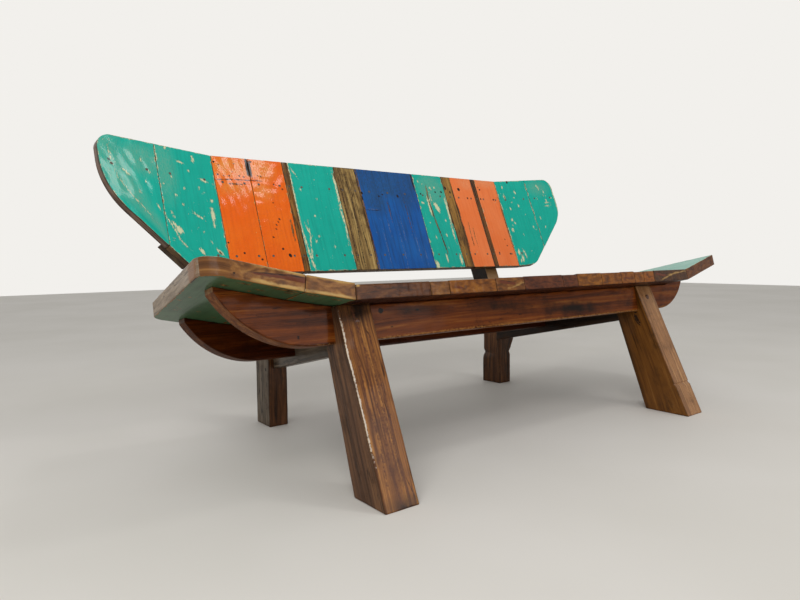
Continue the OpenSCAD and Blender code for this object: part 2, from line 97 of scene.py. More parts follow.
def register(made: bpy.types.Object, node: str) -> None:
    """Tells the frame a piece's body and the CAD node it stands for.

    Args:
        made: the piece's object.
        node: the CAD node that it replaces.
    """
    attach(made, "root")
    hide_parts(node)


def write_field(mesh: bpy.types.Mesh, name: str, kind: str, values: Array) -> None:
    """Writes one attribute on a mesh's points.

    Args:
        mesh: the mesh.
        name: the attribute's name.
        kind: FLOAT, FLOAT_VECTOR or FLOAT_COLOR.
        values: one value or row for each point.
    """
    part = {"FLOAT": "value", "FLOAT_VECTOR": "vector", "FLOAT_COLOR": "color"}[kind]
    mesh.attributes.new(name, kind, "POINT").data.foreach_set(part, values.astype(np.float32).ravel())


def add_node(tree: bpy.types.NodeTree, kind: str, inputs: dict[Any, Any] | None = None,
             **settings: Any) -> bpy.types.Node:
    """Adds one node with its settings and links.

    Args:
        tree: the tree that takes the node.
        kind: the node's type name.
        inputs: a value, a hex colour, an output socket or a node for each input, by name or
            number. A node stands for the first of its outputs that is in use.
        settings: the node's own properties.

    Returns:
        The new node.
    """
    made = tree.nodes.new(kind)
    for key, value in settings.items():
        setattr(made, key, value)
    for key, value in (inputs or {}).items():
        socket = made.inputs[key]
        if isinstance(value, bpy.types.Node):
            value = next(out for out in value.outputs if out.enabled)
        if isinstance(value, bpy.types.NodeSocket):
            tree.links.new(value, socket)
        else:
            colour = isinstance(value, str) and value.startswith("#")
            socket.default_value = linear(value) if colour else value
    return made


def set_stops(node: bpy.types.Node, places: tuple[float, ...], tones: Tones) -> bpy.types.Node:
    """Sets a colour ramp's stops.

    Args:
        node: the ramp.
        places: where each colour stands, 0 to 1, in order.
        tones: the colours, hex.

    Returns:
        The same ramp.
    """
    band = node.color_ramp.elements
    while len(band) < len(tones):
        band.new(0.5)
    for stop, place, code in zip(band, places, tones):
        stop.position = place
        stop.color = linear(code)
    return node


@dataclass(frozen=True)
class Shine:
    """How a surface throws light back."""

    roughness: float = 0.45
    coat: float = 0.22
    coat_roughness: float = 0.14
    specular: float = 0.06
    ior: float = 1.5
    metallic: float = 0.0


def close_surface(add: AddNode, colour: Any, height: Any, depth_mm: float, shine: Shine) -> None:
    """Ends a tree in a principled shader with a bump.

    Args:
        add: adds a node to the material's tree.
        colour: the colour.
        height: the height, 0 to 1.
        depth_mm: what a height of 1 stands for.
        shine: the surface's gloss.
    """
    bump = add("ShaderNodeBump", {"Strength": 1.0, "Distance": depth_mm * MM, "Height": height})
    shader = add("ShaderNodeBsdfPrincipled", {
        "Base Color": colour, "Roughness": shine.roughness, "IOR": shine.ior, "Metallic": shine.metallic,
        "Specular IOR Level": shine.specular, "Coat Weight": shine.coat,
        "Coat Roughness": shine.coat_roughness, "Normal": bump})
    add("ShaderNodeOutputMaterial", {"Surface": shader})


def timber_tone(add: AddNode, grain: Any, tones: Tones, figure_mm: float, run_mm: float,
                cracks: float) -> tuple[Any, Any]:
    """Draws sawn timber: long figure, fine pores and dark splits along the grain.

    Args:
        add: adds a node to the material's tree.
        grain: position in the wood in metres, X along the grain.
        tones: hex colours from the darkest to the lightest.
        figure_mm: width of the figure's bands.
        run_mm: length over which a band wanders.
        cracks: half width of the dark splits in the noise, 0 for none.

    Returns:
        The colour and the height.
    """
    wide = 1000 / figure_mm
    slow = add("ShaderNodeVectorMath", {0: grain, 1: (1000 / run_mm, wide, wide)}, operation="MULTIPLY")
    figure = add("ShaderNodeTexNoise", {
        "Vector": slow, "Scale": 1.0, "Detail": 5.0, "Roughness": 0.62, "Distortion": 0.9})
    # pores about 0.9 mm wide and 30 mm long, coarser than the real ones so that they show
    fast = add("ShaderNodeVectorMath", {0: grain, 1: (34.0, 1100.0, 1100.0)}, operation="MULTIPLY")
    pores = add("ShaderNodeTexNoise", {"Vector": fast, "Scale": 1.0, "Detail": 2.0, "Roughness": 0.6})
    pores = add("ShaderNodeMapRange", {"Value": pores, "From Min": 0.34, "From Max": 0.5, "To Min": 0.72})
    # splits about 30 mm apart and half a metre long
    along = add("ShaderNodeVectorMath", {0: grain, 1: (2.2, 34.0, 34.0)}, operation="MULTIPLY")
    split = add("ShaderNodeTexNoise", {
        "Vector": along, "Scale": 1.0, "Detail": 4.0, "Roughness": 0.55, "Distortion": 0.3})
    split = add("ShaderNodeMath", {0: split, 1: 0.5}, operation="SUBTRACT")
    split = add("ShaderNodeMath", {0: split}, operation="ABSOLUTE")
    split = add("ShaderNodeMapRange", {
        "Value": split, "From Min": cracks * 0.4, "From Max": cracks + 0.0001, "To Min": 1.0, "To Max": 0.0})
    tone = set_stops(add("ShaderNodeValToRGB", {"Fac": figure}), (0.30, 0.44, 0.56, 0.70), tones)
    tone = add("ShaderNodeMix", {"Factor": 1.0, 6: tone, 7: pores}, data_type="RGBA", blend_type="MULTIPLY")
    tone = add("ShaderNodeMix", {"Factor": split, 6: tone, 7: tones[0]}, data_type="RGBA")
    return tone, add("ShaderNodeMath", {0: pores, 1: split}, operation="SUBTRACT")


def ragged_mask(add: AddNode, mark: str, noise: Any, raggedness: float, soft: float) -> Any:
    """Cuts the field of one kind of mark at one half, with a ragged edge.

    Args:
        add: adds a node to the material's tree.
        mark: the field's name; it is one half on a mark's edge.
        noise: a noise from 0 to 1.
        raggedness: how far the noise moves the edge.
        soft: half width of the cut.

    Returns:
        A mask from 0 to 1.
    """
    source = add("ShaderNodeAttribute", attribute_name=mark).outputs["Fac"]
    push = add("ShaderNodeMath", {0: noise, 1: raggedness, 2: -0.5 * raggedness}, operation="MULTIPLY_ADD")
    both = add("ShaderNodeMath", {0: source, 1: push}, operation="ADD")
    return add("ShaderNodeMapRange", {"Value": both, "From Min": 0.5 - soft, "From Max": 0.5 + soft})


@dataclass(frozen=True)
class Finish:
    """A surface's look, named for the real material; each sort draws its own nodes."""

    name: str

    def draw(self, add: AddNode) -> None:
        """Draws the finish's nodes."""
        raise NotImplementedError

    def material(self) -> bpy.types.Material:
        """Gives the finish's material, built on its first use.

        Returns:
            The material.
        """
        made = bpy.data.materials.get(self.name)
        if made is None:
            made = bpy.data.materials.new(self.name)
            made.use_nodes = True
            made.node_tree.nodes.clear()
            self.draw(partial(add_node, made.node_tree))
        return made


@dataclass(frozen=True)
class BoatPaint(Finish):
    """Old gloss paint on a boat's planks, chipped to its primer and the wood, under varnish.

    The eye sees a strong even colour with faint brushed streaks, ragged cream chips, brown
    wear along the seams, dark filled holes, and a wet-looking clear coat over all of it.
    """

    paint: str
    worn: str
    deep: str
    primer: str
    faded: str
    rim_wear: float = 0.30
    streak: float = 0.5
    chips: float = 0.0
    wrinkle: float = 0.0
    wood: Tones = ("#2B190D", "#5A3C1F", "#7E5C33", "#A07D4C")
    shine: Shine = Shine(0.36, 0.26, 0.10, 0.03)

    def draw(self, add: AddNode) -> None:
        """Draws the paint's nodes.

        Args:
            add: adds a node to the material's tree.
        """
        grain = add("ShaderNodeAttribute", attribute_name="grain").outputs["Vector"]
        rim = add("ShaderNodeAttribute", attribute_name="rim").outputs["Fac"]
        faded = add("ShaderNodeAttribute", attribute_name="faded").outputs["Fac"]
        # clouds 120 mm wide, brush streaks 7 mm wide, flakes 3 mm wide and 9 mm long
        cloud = add("ShaderNodeTexNoise", {"Vector": grain, "Scale": 8.0, "Detail": 5.0, "Roughness": 0.6})
        along = add("ShaderNodeVectorMath", {0: grain, 1: (7.0, 140.0, 140.0)}, operation="MULTIPLY")
        streaks = add("ShaderNodeTexNoise", {"Vector": along, "Scale": 1.0, "Detail": 4.0, "Roughness": 0.6})
        flaky = add("ShaderNodeVectorMath", {0: grain, 1: (110.0, 330.0, 330.0)}, operation="MULTIPLY")
        flakes = add("ShaderNodeTexNoise", {
            "Vector": flaky, "Scale": 1.0, "Detail": 6.0, "Roughness": 0.7, "Distortion": 0.4})
        # patches of wear about 20 mm across, and wrinkles of thick paint 9 mm from crest to crest
        patches = add("ShaderNodeTexNoise", {
            "Vector": grain, "Scale": 46.0, "Detail": 6.0, "Roughness": 0.72})
        folds = add("ShaderNodeTexNoise", {
            "Vector": grain, "Scale": 110.0, "Detail": 3.0, "Roughness": 0.5, "Distortion": 1.6})
        cloudy = add("ShaderNodeMapRange", {
            "Value": cloud, "From Min": 0.38, "From Max": 0.66, "To Max": 0.75})
        streaky = add("ShaderNodeMapRange", {
            "Value": streaks, "From Min": 0.46, "From Max": 0.72, "To Max": self.streak})
        rubbed = add("ShaderNodeMapRange", {
            "Value": flakes, "From Min": 0.36, "From Max": 0.62, "To Min": 0.1, "To Max": 0.85})
        rubbed = add("ShaderNodeMath", {0: rubbed, 1: faded}, operation="MULTIPLY")
        # wear near the block's edges, and stray chips anywhere
        near = add("ShaderNodeMapRange", {
            "Value": rim, "From Max": 6.0, "To Min": self.rim_wear, "To Max": 0.0})
        near = add("ShaderNodeMath", {0: near, 1: patches}, operation="ADD")
        rim_pale = add("ShaderNodeMapRange", {"Value": near, "From Min": 0.66, "From Max": 0.70})
        rim_brown = add("ShaderNodeMapRange", {"Value": near, "From Min": 0.73, "From Max": 0.77})
        stray = add("ShaderNodeMapRange", {
            "Value": patches, "From Min": 0.715 - self.chips, "From Max": 0.73 - self.chips, "To Max": 0.8})
        primed = ragged_mask(add, "pale", flakes, 2.5, 0.06)
        for more in (rim_pale, stray):
            primed = add("ShaderNodeMath", {0: primed, 1: more}, operation="MAXIMUM")
        bare = add("ShaderNodeMath", {0: ragged_mask(add, "brown", flakes, 1.6, 0.06), 1: rim_brown},
                   operation="MAXIMUM")
        holes = ragged_mask(add, "black", flakes, 0.8, 0.10)
        wood, _ = timber_tone(add, grain, self.wood, 9.0, 160.0, 0.012)
        coat = self.paint
        for share, over in ((cloudy, self.worn), (streaky, self.deep), (rubbed, self.faded),
                            (primed, self.primer), (bare, wood), (holes, "#1E1712")):
            coat = add("ShaderNodeMix", {"Factor": share, 6: coat, 7: over}, data_type="RGBA")
        gone = add("ShaderNodeMath", {0: primed, 1: bare}, operation="MAXIMUM")
        level = 1.0
        for sunk in (gone, holes):
            level = add("ShaderNodeMath", {0: level, 1: sunk}, operation="SUBTRACT")
        for bumps, high in ((streaks, 0.55), (cloud, 0.4), (folds, self.wrinkle)):
            level = add("ShaderNodeMath", {0: bumps, 1: high, 2: level}, operation="MULTIPLY_ADD")
        close_surface(add, coat, level, 0.7, self.shine)


@dataclass(frozen=True)
class OldTimber(Finish):
    """Reclaimed hardwood, planed here and weathered there, under the same varnish.

    The eye sees long figure in several browns, short dark pores, splits along the grain,
    dark stains where it was marked, and softer gloss than on the paint. The same dark marks
    paint shade at the front legs' tops and on the right post. Its pale marks paint light: a
    glint on the left front leg's arris and a lighter front on the right post.
    """

    tones: Tones
    figure_mm: float = 11.0
    run_mm: float = 190.0
    cracks: float = 0.012
    edge_tone: str = "#3A2413"
    pale_tone: str = "#B9A27C"
    mark_tone: str = "#3A2413"
    shine: Shine = Shine(0.44, 0.22, 0.15, 0.06)

    def draw(self, add: AddNode) -> None:
        """Draws the timber's nodes.

        Args:
            add: adds a node to the material's tree.
        """
        grain = add("ShaderNodeAttribute", attribute_name="grain").outputs["Vector"]
        rim = add("ShaderNodeAttribute", attribute_name="rim").outputs["Fac"]
        faded = add("ShaderNodeAttribute", attribute_name="faded").outputs["Fac"]
        tint = add("ShaderNodeAttribute", attribute_name="tint").outputs["Color"]
        wood, high = timber_tone(add, grain, self.tones, self.figure_mm, self.run_mm, self.cracks)
        # stains about 60 mm across and ragged marks of 4 mm
        cloud = add("ShaderNodeTexNoise", {"Vector": grain, "Scale": 17.0, "Detail": 5.0, "Roughness": 0.65})
        flakes = add("ShaderNodeTexNoise", {"Vector": grain, "Scale": 230.0, "Detail": 4.0, "Roughness": 0.6})
        stain = add("ShaderNodeMapRange", {
            "Value": cloud, "From Min": 0.50, "From Max": 0.72, "To Max": 0.55})
        near = add("ShaderNodeMapRange", {"Value": rim, "From Max": 7.0, "To Min": 0.30, "To Max": 0.0})
        near = add("ShaderNodeMath", {0: near, 1: cloud}, operation="ADD")
        edge = add("ShaderNodeMapRange", {
            "Value": near, "From Min": 0.60, "From Max": 0.78, "To Max": 0.75})
        # darkening toward #150D08 where the faded field is set: real stains on the beam and the bare back
        # board, painted shade at the front legs' tops and on the right post
        stain_and_shade = add("ShaderNodeMapRange", {
            "Value": cloud, "From Min": 0.3, "From Max": 0.6, "To Min": 0.35, "To Max": 0.95})
        stain_and_shade = add("ShaderNodeMath", {0: stain_and_shade, 1: faded}, operation="MULTIPLY")
        # pale marks: rubbed wear, and painted light for the glint on the left front leg's arris and for the
        # right post's lit front
        rubbed = ragged_mask(add, "pale", flakes, 1.4, 0.14)
        darker = ragged_mask(add, "brown", flakes, 1.4, 0.20)
        holes = ragged_mask(add, "black", flakes, 0.8, 0.12)
        tone = add("ShaderNodeMix", {"Factor": 1.0, 6: wood, 7: tint},
                   data_type="RGBA", blend_type="MULTIPLY")
        for share, over in ((stain, self.edge_tone), (edge, self.edge_tone), (stain_and_shade, "#150D08"),
                            (rubbed, self.pale_tone), (darker, self.mark_tone), (holes, "#17100B")):
            tone = add("ShaderNodeMix", {"Factor": share, 6: tone, 7: over}, data_type="RGBA")
        level = add("ShaderNodeMath", {0: high, 1: holes}, operation="SUBTRACT")
        level = add("ShaderNodeMath", {0: cloud, 1: 0.8, 2: level}, operation="MULTIPLY_ADD")
        close_surface(add, tone, level, 0.5, self.shine)


@dataclass(frozen=True)
class EndGrain(Finish):
    """Timber cut across the grain: curved growth rings with dark pores and chips."""

    tones: Tones
    ring_mm: float = 7.0
    shine: Shine = Shine(0.5, 0.22, 0.18, 0.06)

    def draw(self, add: AddNode) -> None:
        """Draws the end grain's nodes.

        Args:
            add: adds a node to the material's tree.
        """
        grain = add("ShaderNodeAttribute", attribute_name="grain").outputs["Vector"]
        tint = add("ShaderNodeAttribute", attribute_name="tint").outputs["Color"]
        flat = add("ShaderNodeVectorMath", {0: grain, 1: (0.0, 1.0, 2.4)}, operation="MULTIPLY")
        # the rings wander over 90 mm; stains are 30 mm across and pores 2 mm
        wander = add("ShaderNodeTexNoise", {"Vector": flat, "Scale": 11.0, "Detail": 3.0, "Roughness": 0.5})
        cloud = add("ShaderNodeTexNoise", {"Vector": flat, "Scale": 34.0, "Detail": 4.0, "Roughness": 0.6})
        specks = add("ShaderNodeTexNoise", {"Vector": flat, "Scale": 420.0, "Detail": 2.0, "Roughness": 0.7})
        rings = add("ShaderNodeMath", {0: wander, 1: 260.0 / self.ring_mm}, operation="MULTIPLY")
        rings = add("ShaderNodeMath", {0: rings}, operation="SINE")
        rings = add("ShaderNodeMapRange", {"Value": rings, "From Min": -1.0, "To Min": 0.38, "To Max": 0.62})
        mixed = add("ShaderNodeMath", {0: cloud, 1: 0.9, 2: -0.45}, operation="MULTIPLY_ADD")
        mixed = add("ShaderNodeMath", {0: mixed, 1: rings}, operation="ADD")
        pits = add("ShaderNodeMapRange", {"Value": specks, "From Min": 0.34, "From Max": 0.46, "To Min": 0.7})
        chipped = ragged_mask(add, "pale", cloud, 1.0, 0.25)
        redder = ragged_mask(add, "brown", cloud, 0.35, 0.12)
        holes = ragged_mask(add, "black", cloud, 0.25, 0.12)
        tone = set_stops(add("ShaderNodeValToRGB", {"Fac": mixed}), (0.24, 0.42, 0.58, 0.76), self.tones)
        for over in (tint, pits):
            tone = add("ShaderNodeMix", {"Factor": 1.0, 6: tone, 7: over},
                       data_type="RGBA", blend_type="MULTIPLY")
        for share, over in ((chipped, "#B08C52"), (redder, "#5A2A14"), (holes, "#1A120C")):
            tone = add("ShaderNodeMix", {"Factor": share, 6: tone, 7: over}, data_type="RGBA")
        level = add("ShaderNodeMath", {0: pits, 1: mixed}, operation="ADD")
        level = add("ShaderNodeMath", {0: level, 1: holes}, operation="SUBTRACT")
        close_surface(add, tone, level, 0.5, self.shine)


@dataclass(frozen=True)
class DulledSteel(Finish):
    """Steel of screws and bolts, dulled by age and wetted by varnish, with specks of rust."""

    metal: str
    rust: str
    shine: Shine = Shine(0.42, 0.2, 0.2, 0.5, 1.5, 0.85)

    def draw(self, add: AddNode) -> None:
        """Draws the steel's nodes.

        Args:
            add: adds a node to the material's tree.
        """
        at = add("ShaderNodeTexCoord").outputs["Object"]
        # rust specks about 3 mm across
        specks = add("ShaderNodeTexNoise", {"Vector": at, "Scale": 330.0, "Detail": 3.0, "Roughness": 0.6})
        share = add("ShaderNodeMapRange", {"Value": specks, "From Min": 0.48, "From Max": 0.62})
        tone = add("ShaderNodeMix", {"Factor": share, 6: self.metal, 7: self.rust}, data_type="RGBA")
        close_surface(add, tone, specks, 0.2, self.shine)


@dataclass(frozen=True)
class Mottled(Finish):
    """A plain stuff of several close tones, such as a plug's end grain or a painted floor."""

    scale: float
    detail: float
    roughness: float
    places: tuple[float, ...]
    tones: Tones
    depth_mm: float
    shine: Shine

    def draw(self, add: AddNode) -> None:
        """Draws the stuff's nodes.

        Args:
            add: adds a node to the material's tree.
        """
        cloud = add("ShaderNodeTexNoise", {
            "Vector": add("ShaderNodeTexCoord").outputs["Object"], "Scale": self.scale, "Detail": self.detail,
            "Roughness": self.roughness})
        tone = set_stops(add("ShaderNodeValToRGB", {"Fac": cloud}), self.places, self.tones)
        close_surface(add, tone, cloud, self.depth_mm, self.shine)


TEAL = BoatPaint("gloss_boat_paint_teal", "#03A692", "#12AE9A", "#057E72", "#CFD2AA", "#62A48C",
                 0.22, 0.40, 0.0, 0.7)
ORANGE = BoatPaint("gloss_boat_paint_orange", "#EC6206", "#F07212", "#D05406", "#E2A460", "#DC9140",
                   0.16, 0.45, 0.0, 4.0)
CORAL = BoatPaint("gloss_boat_paint_faded_orange", "#E87436", "#EC824A", "#D8602A", "#D9A877", "#E39A6C",
                  0.14, 0.40)
BLUE = BoatPaint("gloss_boat_paint_blue", "#0A509A", "#1660A8", "#153A66", "#5470A0", "#22405C",
                 0.16, 0.85, 0.0, 0.8)
SEAT_END = BoatPaint("pale_worn_boat_paint", "#6FB3A0", "#8CC4B2", "#4F8C78", "#C9C2A0", "#A8BFA8",
                     0.30, 0.6, 0.05)
GREEN_UNDER = BoatPaint("dark_green_boat_paint", "#3A563A", "#4E6C4C", "#263C24", "#8A5A2C", "#5A7A5A",
                        0.24, 0.5, 0.085)
OCHRE = OldTimber("varnished_old_plank", ("#4A3418", "#866A3C", "#A88A50", "#BC9E64"), 12.0, 260.0, 0.014)
SEAT_TOP = OldTimber("varnished_seat_hardwood", ("#3B210F", "#7A5228", "#9A6C38", "#B88B50"), 13.0, 230.0)
# its pale tone is a painted white glint along the left front leg's front arris
LEG = OldTimber("varnished_figured_leg_hardwood", ("#40220F", "#6C4222", "#8A582A", "#AE7A3C"),
                10.0, 320.0, 0.008, "#46281A", "#C9BCAC", "#54301E")
LEG_SIDE = OldTimber("varnished_leg_side_hardwood", ("#362418", "#523827", "#64452F", "#7A5638"), 20.0, 380.0)
LEG_RIGHT = OldTimber("varnished_brown_leg_hardwood", ("#3E240C", "#603A14", "#74481A", "#885A28"),
                      22.0, 340.0, 0.0, "#3C260E", "#C0A070", "#2A190C")
LEG_FACE = OldTimber("varnished_planed_leg_face", ("#6A4628", "#8A603C", "#9E724A", "#B2885C"), 18.0, 380.0,
                     0.004, "#644226", "#C09A70", "#3A2416")
# its near-black tones paint part of the shade on the right post's inner face; its pale tone is painted light
# on that post's front
POST = OldTimber("varnished_dark_post_hardwood", ("#1E1008", "#422612", "#5A371E", "#744E2C"), 14.0, 260.0,
                 pale_tone="#8E6C48")
BEAM = OldTimber("varnished_red_beam_hardwood", ("#3A1A09", "#5A2A0D", "#723810", "#88501F"),
                 16.0, 420.0, 0.004, "#2C1206", "#8A5A28", "#240F06", Shine(0.5, 0.12, 0.15, 0.03))
BEAM_EDGE = OldTimber("varnished_worn_beam_edge", ("#482410", "#683A1A", "#7C4A22", "#946236"), 12.0, 300.0,
                      0.004, "#46260F", shine=Shine(0.5, 0.1, 0.15, 0.03))
RAIL = OldTimber("varnished_grey_rail_hardwood", ("#2C241C", "#54483A", "#6C5E4E", "#857462"), 14.0, 300.0)
# near-black copy of the grey rail timber: painted shade for the right rail, which stands in shade under the
# seat
SHADED_RAIL = OldTimber("varnished_black_rail_hardwood", ("#0E0A07", "#1E1610", "#2C2018", "#3E2E22"),
                      14.0, 300.0)
BATTEN = OldTimber("varnished_batten_softwood", ("#21160D", "#3C2C1E", "#4E3C2A", "#625040"), 12.0, 240.0)
BACKS = OldTimber("varnished_board_backs", ("#2C1C10", "#5E4428", "#7B5E3A", "#97794F"), 12.0, 230.0, 0.014)
UNDERS = OldTimber("varnished_board_undersides", ("#220F08", "#42200E", "#552C14", "#6E3C1C"), 14.0, 260.0)
SEAT_SIDE = OldTimber("weathered_seat_end_face", ("#6A5C4E", "#8C7E6E", "#A09282", "#B4A694"), 10.0, 140.0,
                      0.010, "#7A6A58", mark_tone="#7E5838")
WING_EDGE = OldTimber("varnished_wing_edge", ("#382A22", "#5F4C40", "#776052", "#8D7462"), 9.0, 120.0)
ENDS = EndGrain("varnished_end_grain", ("#54361F", "#724C2A", "#885E34", "#9C7442"))
DARK_ENDS = EndGrain("varnished_dark_end_grain", ("#24170D", "#38281A", "#4A3826", "#5E4A34"))
STEEL = DulledSteel("dulled_screw_steel", "#5A5148", "#2E231B")
ZINC = DulledSteel("dull_zinc_steel", "#8C8A86", "#5E564D", Shine(0.4, 0.1, 0.2, 0.5, 1.5, 0.9))
# turned hardwood plugs, cut across the grain, dark with varnish, mottled every 2.6 mm
PLUG = Mottled("varnished_plug_hardwood", 380.0, 4.0, 0.6, (0.35, 0.5, 0.62, 0.75),
               ("#2B160A", "#4A2812", "#6B4020", "#7E5430"), 0.3, Shine(0.4, 0.3, 0.2))
# matt painted floor with clouds of nearly the same grey, most of a metre across
FLOOR = Mottled("pale_studio_floor", 1.3, 3.0, 0.5, (0.35, 0.65), ("#DCD8D0", "#E2DED7"), 0.05,
                Shine(0.6, 0.0))


class Paint(Enum):
    """The finishes that a back board's face has, each with its material slot."""

    TEAL = (TEAL, "teal_paint")
    ORANGE = (ORANGE, "orange_paint")
    CORAL = (CORAL, "orange_paint")
    BLUE = (BLUE, "blue_paint")
    BARE = (OCHRE, "brown_wood")


class Kind(Enum):
    """What shows where a surface is marked."""

    PALE = "pale"
    BROWN = "brown"
    BLACK = "black"
    # fade of paint, stains in timber, and painted shade where a timber's mark sits in shade
    FADED = "faded"


class Side(Enum):
    """A block's six sides: low and high of its first axis, of its second and of its third."""

    START = 0
    FINISH = 1
    LEFT = 2
    RIGHT = 3
    FACE = 4
    REAR = 5


PALE, BROWN, BLACK, FADED = Kind
START, FINISH, LEFT, RIGHT, FACE, REAR = Side


@dataclass(frozen=True)
class Mark:
    """One mark on a side: its middle, its size and its turn from the side's first axis."""

    kind: Kind
    across: float
    down: float
    long: float
    wide: float
    turn: float = 0.0
    soft: float = 4.0
    side: Side | None = None

    def depth(self, down: Array, across: Array) -> Array:
        """Works out the mark's field.

        Args:
            down: distance of each point down the side.
            across: distance of each point across the side.

        Returns:
            One half on the mark's edge, more inside.
        """
        c, s = cos_sin(self.turn)
        run = (down - self.down) * c + (across - self.across) * s
        off = (across - self.across) * c - (down - self.down) * s
        # a long mark keeps its width along most of its length
        power = 6 if self.long > 5 * self.wide else 2
        far, aside = np.abs(run / (self.long / 2)), np.abs(off / (self.wide / 2))
        ratio = (far ** power + aside ** power) ** (1 / power)
        inside = (1 - ratio) * min(self.long, self.wide) / 2
        return np.clip(0.5 + inside / (2 * self.soft), 0.0, 1.0)


def line(kind: Kind, wide: float, *points: tuple[float, float], soft: float = 3.5) -> list[Mark]:
    """Strings long marks along a line, such as a crack or a scratch.

    Args:
        kind: what shows in the line.
        wide: the line's width.
        points: across and down of each point on it.
        soft: how far its edges fade.

    Returns:
        One mark for each stretch.
    """
    marks = []
    for (a0, d0), (a1, d1) in zip(points, points[1:]):
        turn, long = math.degrees(math.atan2(a1 - a0, d1 - d0)), math.hypot(a1 - a0, d1 - d0) + wide
        marks.append(Mark(kind, (a0 + a1) / 2, (d0 + d1) / 2, long, wide, turn, soft))
    return marks


def ripple(seed: int, length: float, *at: Any) -> Array:
    """Gives a smooth, repeatable unevenness from -1 to 1.

    Args:
        seed: picks the waves.
        length: the waves' length in millimetres.
        at: the points' places in millimetres, one array for each direction.

    Returns:
        One value for each point.
    """
    pick = np.random.default_rng(seed)
    spots = np.stack(at, 1)
    total = np.zeros(len(spots))
    for k in range(WAVES):
        way = pick.normal(size=spots.shape[1])
        way /= np.linalg.norm(way)
        total += np.sin(spots @ way * (2 * math.pi / length) * (1 + 0.45 * k) + pick.uniform(0, FULL_TURN))
    return total / WAVES


@dataclass(frozen=True)
class Block:
    """A closed box of quads with rounded edges, before it is bent to a piece's shape.

    The third size is its thickness. Cells are the quads' lengths along each axis, and extra
    lines can be added along the first.
    """

    size: tuple[float, float, float]
    cell: tuple[float, float, float]
    radius: float
    extra: tuple[float, ...] = ()

    def lines(self, axis: int) -> Array:
        """Places the grid's lines on one axis.

        Args:
            axis: 0, 1 or 2.

        Returns:
            Their places, in order.
        """
        size, r = self.size[axis], self.radius
        count = max(1, math.ceil((size - 4 * r) / self.cell[axis]))
        edge = [0, 0.586 * r, r]  # the middle line halves the rounded edge
        places = edge + [size - e for e in edge] + list(np.linspace(2 * r, size - 2 * r, count + 1))
        places += [e for e in self.extra if axis == 0 and r < e < size - r]
        tidy = np.unique(np.round(places, 2))
        keep = [tidy[0]]
        for place in tidy[1:]:
            if place - keep[-1] > FINEST:
                keep.append(place)
        keep[-1] = size
        return np.array(keep)

    def build(self) -> tuple[Array, Array, Array]:
        """Makes the block.

        Returns:
            Its points, its quads, and the number of the side that each quad is on.
        """
        grid = [self.lines(axis) for axis in range(3)]
        last = [len(g) - 1 for g in grid]
        place = np.indices([len(g) for g in grid])
        shell = np.zeros(place.shape[1:], bool)
        for axis in range(3):
            shell |= (place[axis] == 0) | (place[axis] == last[axis])
        number = np.full(shell.shape, -1)
        number[shell] = np.arange(shell.sum())
        points = np.stack([grid[axis][place[axis][shell]] for axis in range(3)], 1).astype(float)
        quads, sides = [], []
        for side in range(6):
            axis, high = divmod(side, 2)
            face = np.take(number, last[axis] if high else 0, axis=axis)
            if axis == 1:
                face = face.T
            corners = [face[:-1, :-1], face[1:, :-1], face[1:, 1:], face[:-1, 1:]]
            quads.append(np.stack([c.ravel() for c in (corners if high else corners[::-1])], 1))
            sides.append(np.full(len(quads[-1]), side))
        inner = np.clip(points, self.radius, np.array(self.size) - self.radius)
        off = points - inner
        points = inner + off / np.linalg.norm(off, axis=1, keepdims=True) * self.radius
        return points, np.concatenate(quads), np.concatenate(sides)


@dataclass
class Piece:
    """One timber piece: a block, the way it is bent, its finishes and its marks.

    A side without a finish of its own has the face's, and a mark without a side of its own
    lies on the marked side. Wrap is how far the first end's finish runs round the corner. In
    a sawn piece the grain runs straight on through its curves.
    """

    name: str
    block: Block
    bend: Bend
    finishes: dict[Side, Finish]
    slot: str
    seed: int
    tint: str = "#FFFFFF"
    marks: list[Mark] = field(default_factory=list)
    marked: Side = FACE
    wrap: float = 0.0
    sawn: bool = False

    def make(self) -> None:
        """Builds, dresses and registers the piece."""
        points, quads, sides = self.block.build()
        placed = self.bend(points) * MM
        corner = placed[quads]
        normal = np.cross(corner[:, 2] - corner[:, 0], corner[:, 3] - corner[:, 1])
        if ((corner.mean(1) - placed.mean(0)) * normal).sum() < 0:
            quads = quads[:, ::-1]
        mesh = bpy.data.meshes.new(self.name)
        mesh.from_pydata(placed.tolist(), [], quads.tolist())
        looks = list(dict.fromkeys(self.finishes.values()))
        for look in looks:
            mesh.materials.append(look.material())
        index = np.array([looks.index(self.finishes.get(side, self.finishes[FACE])) for side in Side])
        chosen = index[sides]
        chosen[(points[quads].mean(1)[:, 0] < self.wrap) & (sides == LEFT.value)] = index[START.value]
        mesh.polygons.foreach_set("material_index", chosen.astype(np.int32))
        mesh.polygons.foreach_set("use_smooth", np.ones(len(quads), bool))
        self.write_fields(mesh, points, placed)
        mesh.update()
        register(stand("dressed_" + self.name, mesh), self.name)
        LOG.info("%s: %d quads", self.name, len(quads))

    def write_fields(self, mesh: bpy.types.Mesh, points: Array, placed: Array) -> None:
        """Writes the attributes that the finishes read.

        Args:
            mesh: the piece's mesh.
            points: its points before bending.
            placed: its points in their place, in metres.
        """
        size = np.array(self.block.size)
        shift = np.random.default_rng(self.seed).uniform(0, 40, 3)
        write_field(mesh, "grain", "FLOAT_VECTOR", (placed if self.sawn else points * MM) + shift)
        write_field(mesh, "rim", "FLOAT", np.sort(np.minimum(points, size - points), axis=1)[:, 1])
        write_field(mesh, "tint", "FLOAT_COLOR", np.tile(linear(self.tint), (len(points), 1)))
        for kind in Kind:
            value = np.zeros(len(points))
            for mark in (m for m in self.marks if m.kind is kind):
                axis, high = divmod((mark.side or self.marked).value, 2)
                gone = size[axis] - points[:, axis] if high else points[:, axis]
                first, second = [a for a in range(3) if a != axis]
                reach = min(MARK_REACH, size[axis] / 2)
                shown = np.where(gone < reach, mark.depth(points[:, first], points[:, second]), 0)
                value = np.maximum(value, shown)
            write_field(mesh, kind.value, "FLOAT", value)


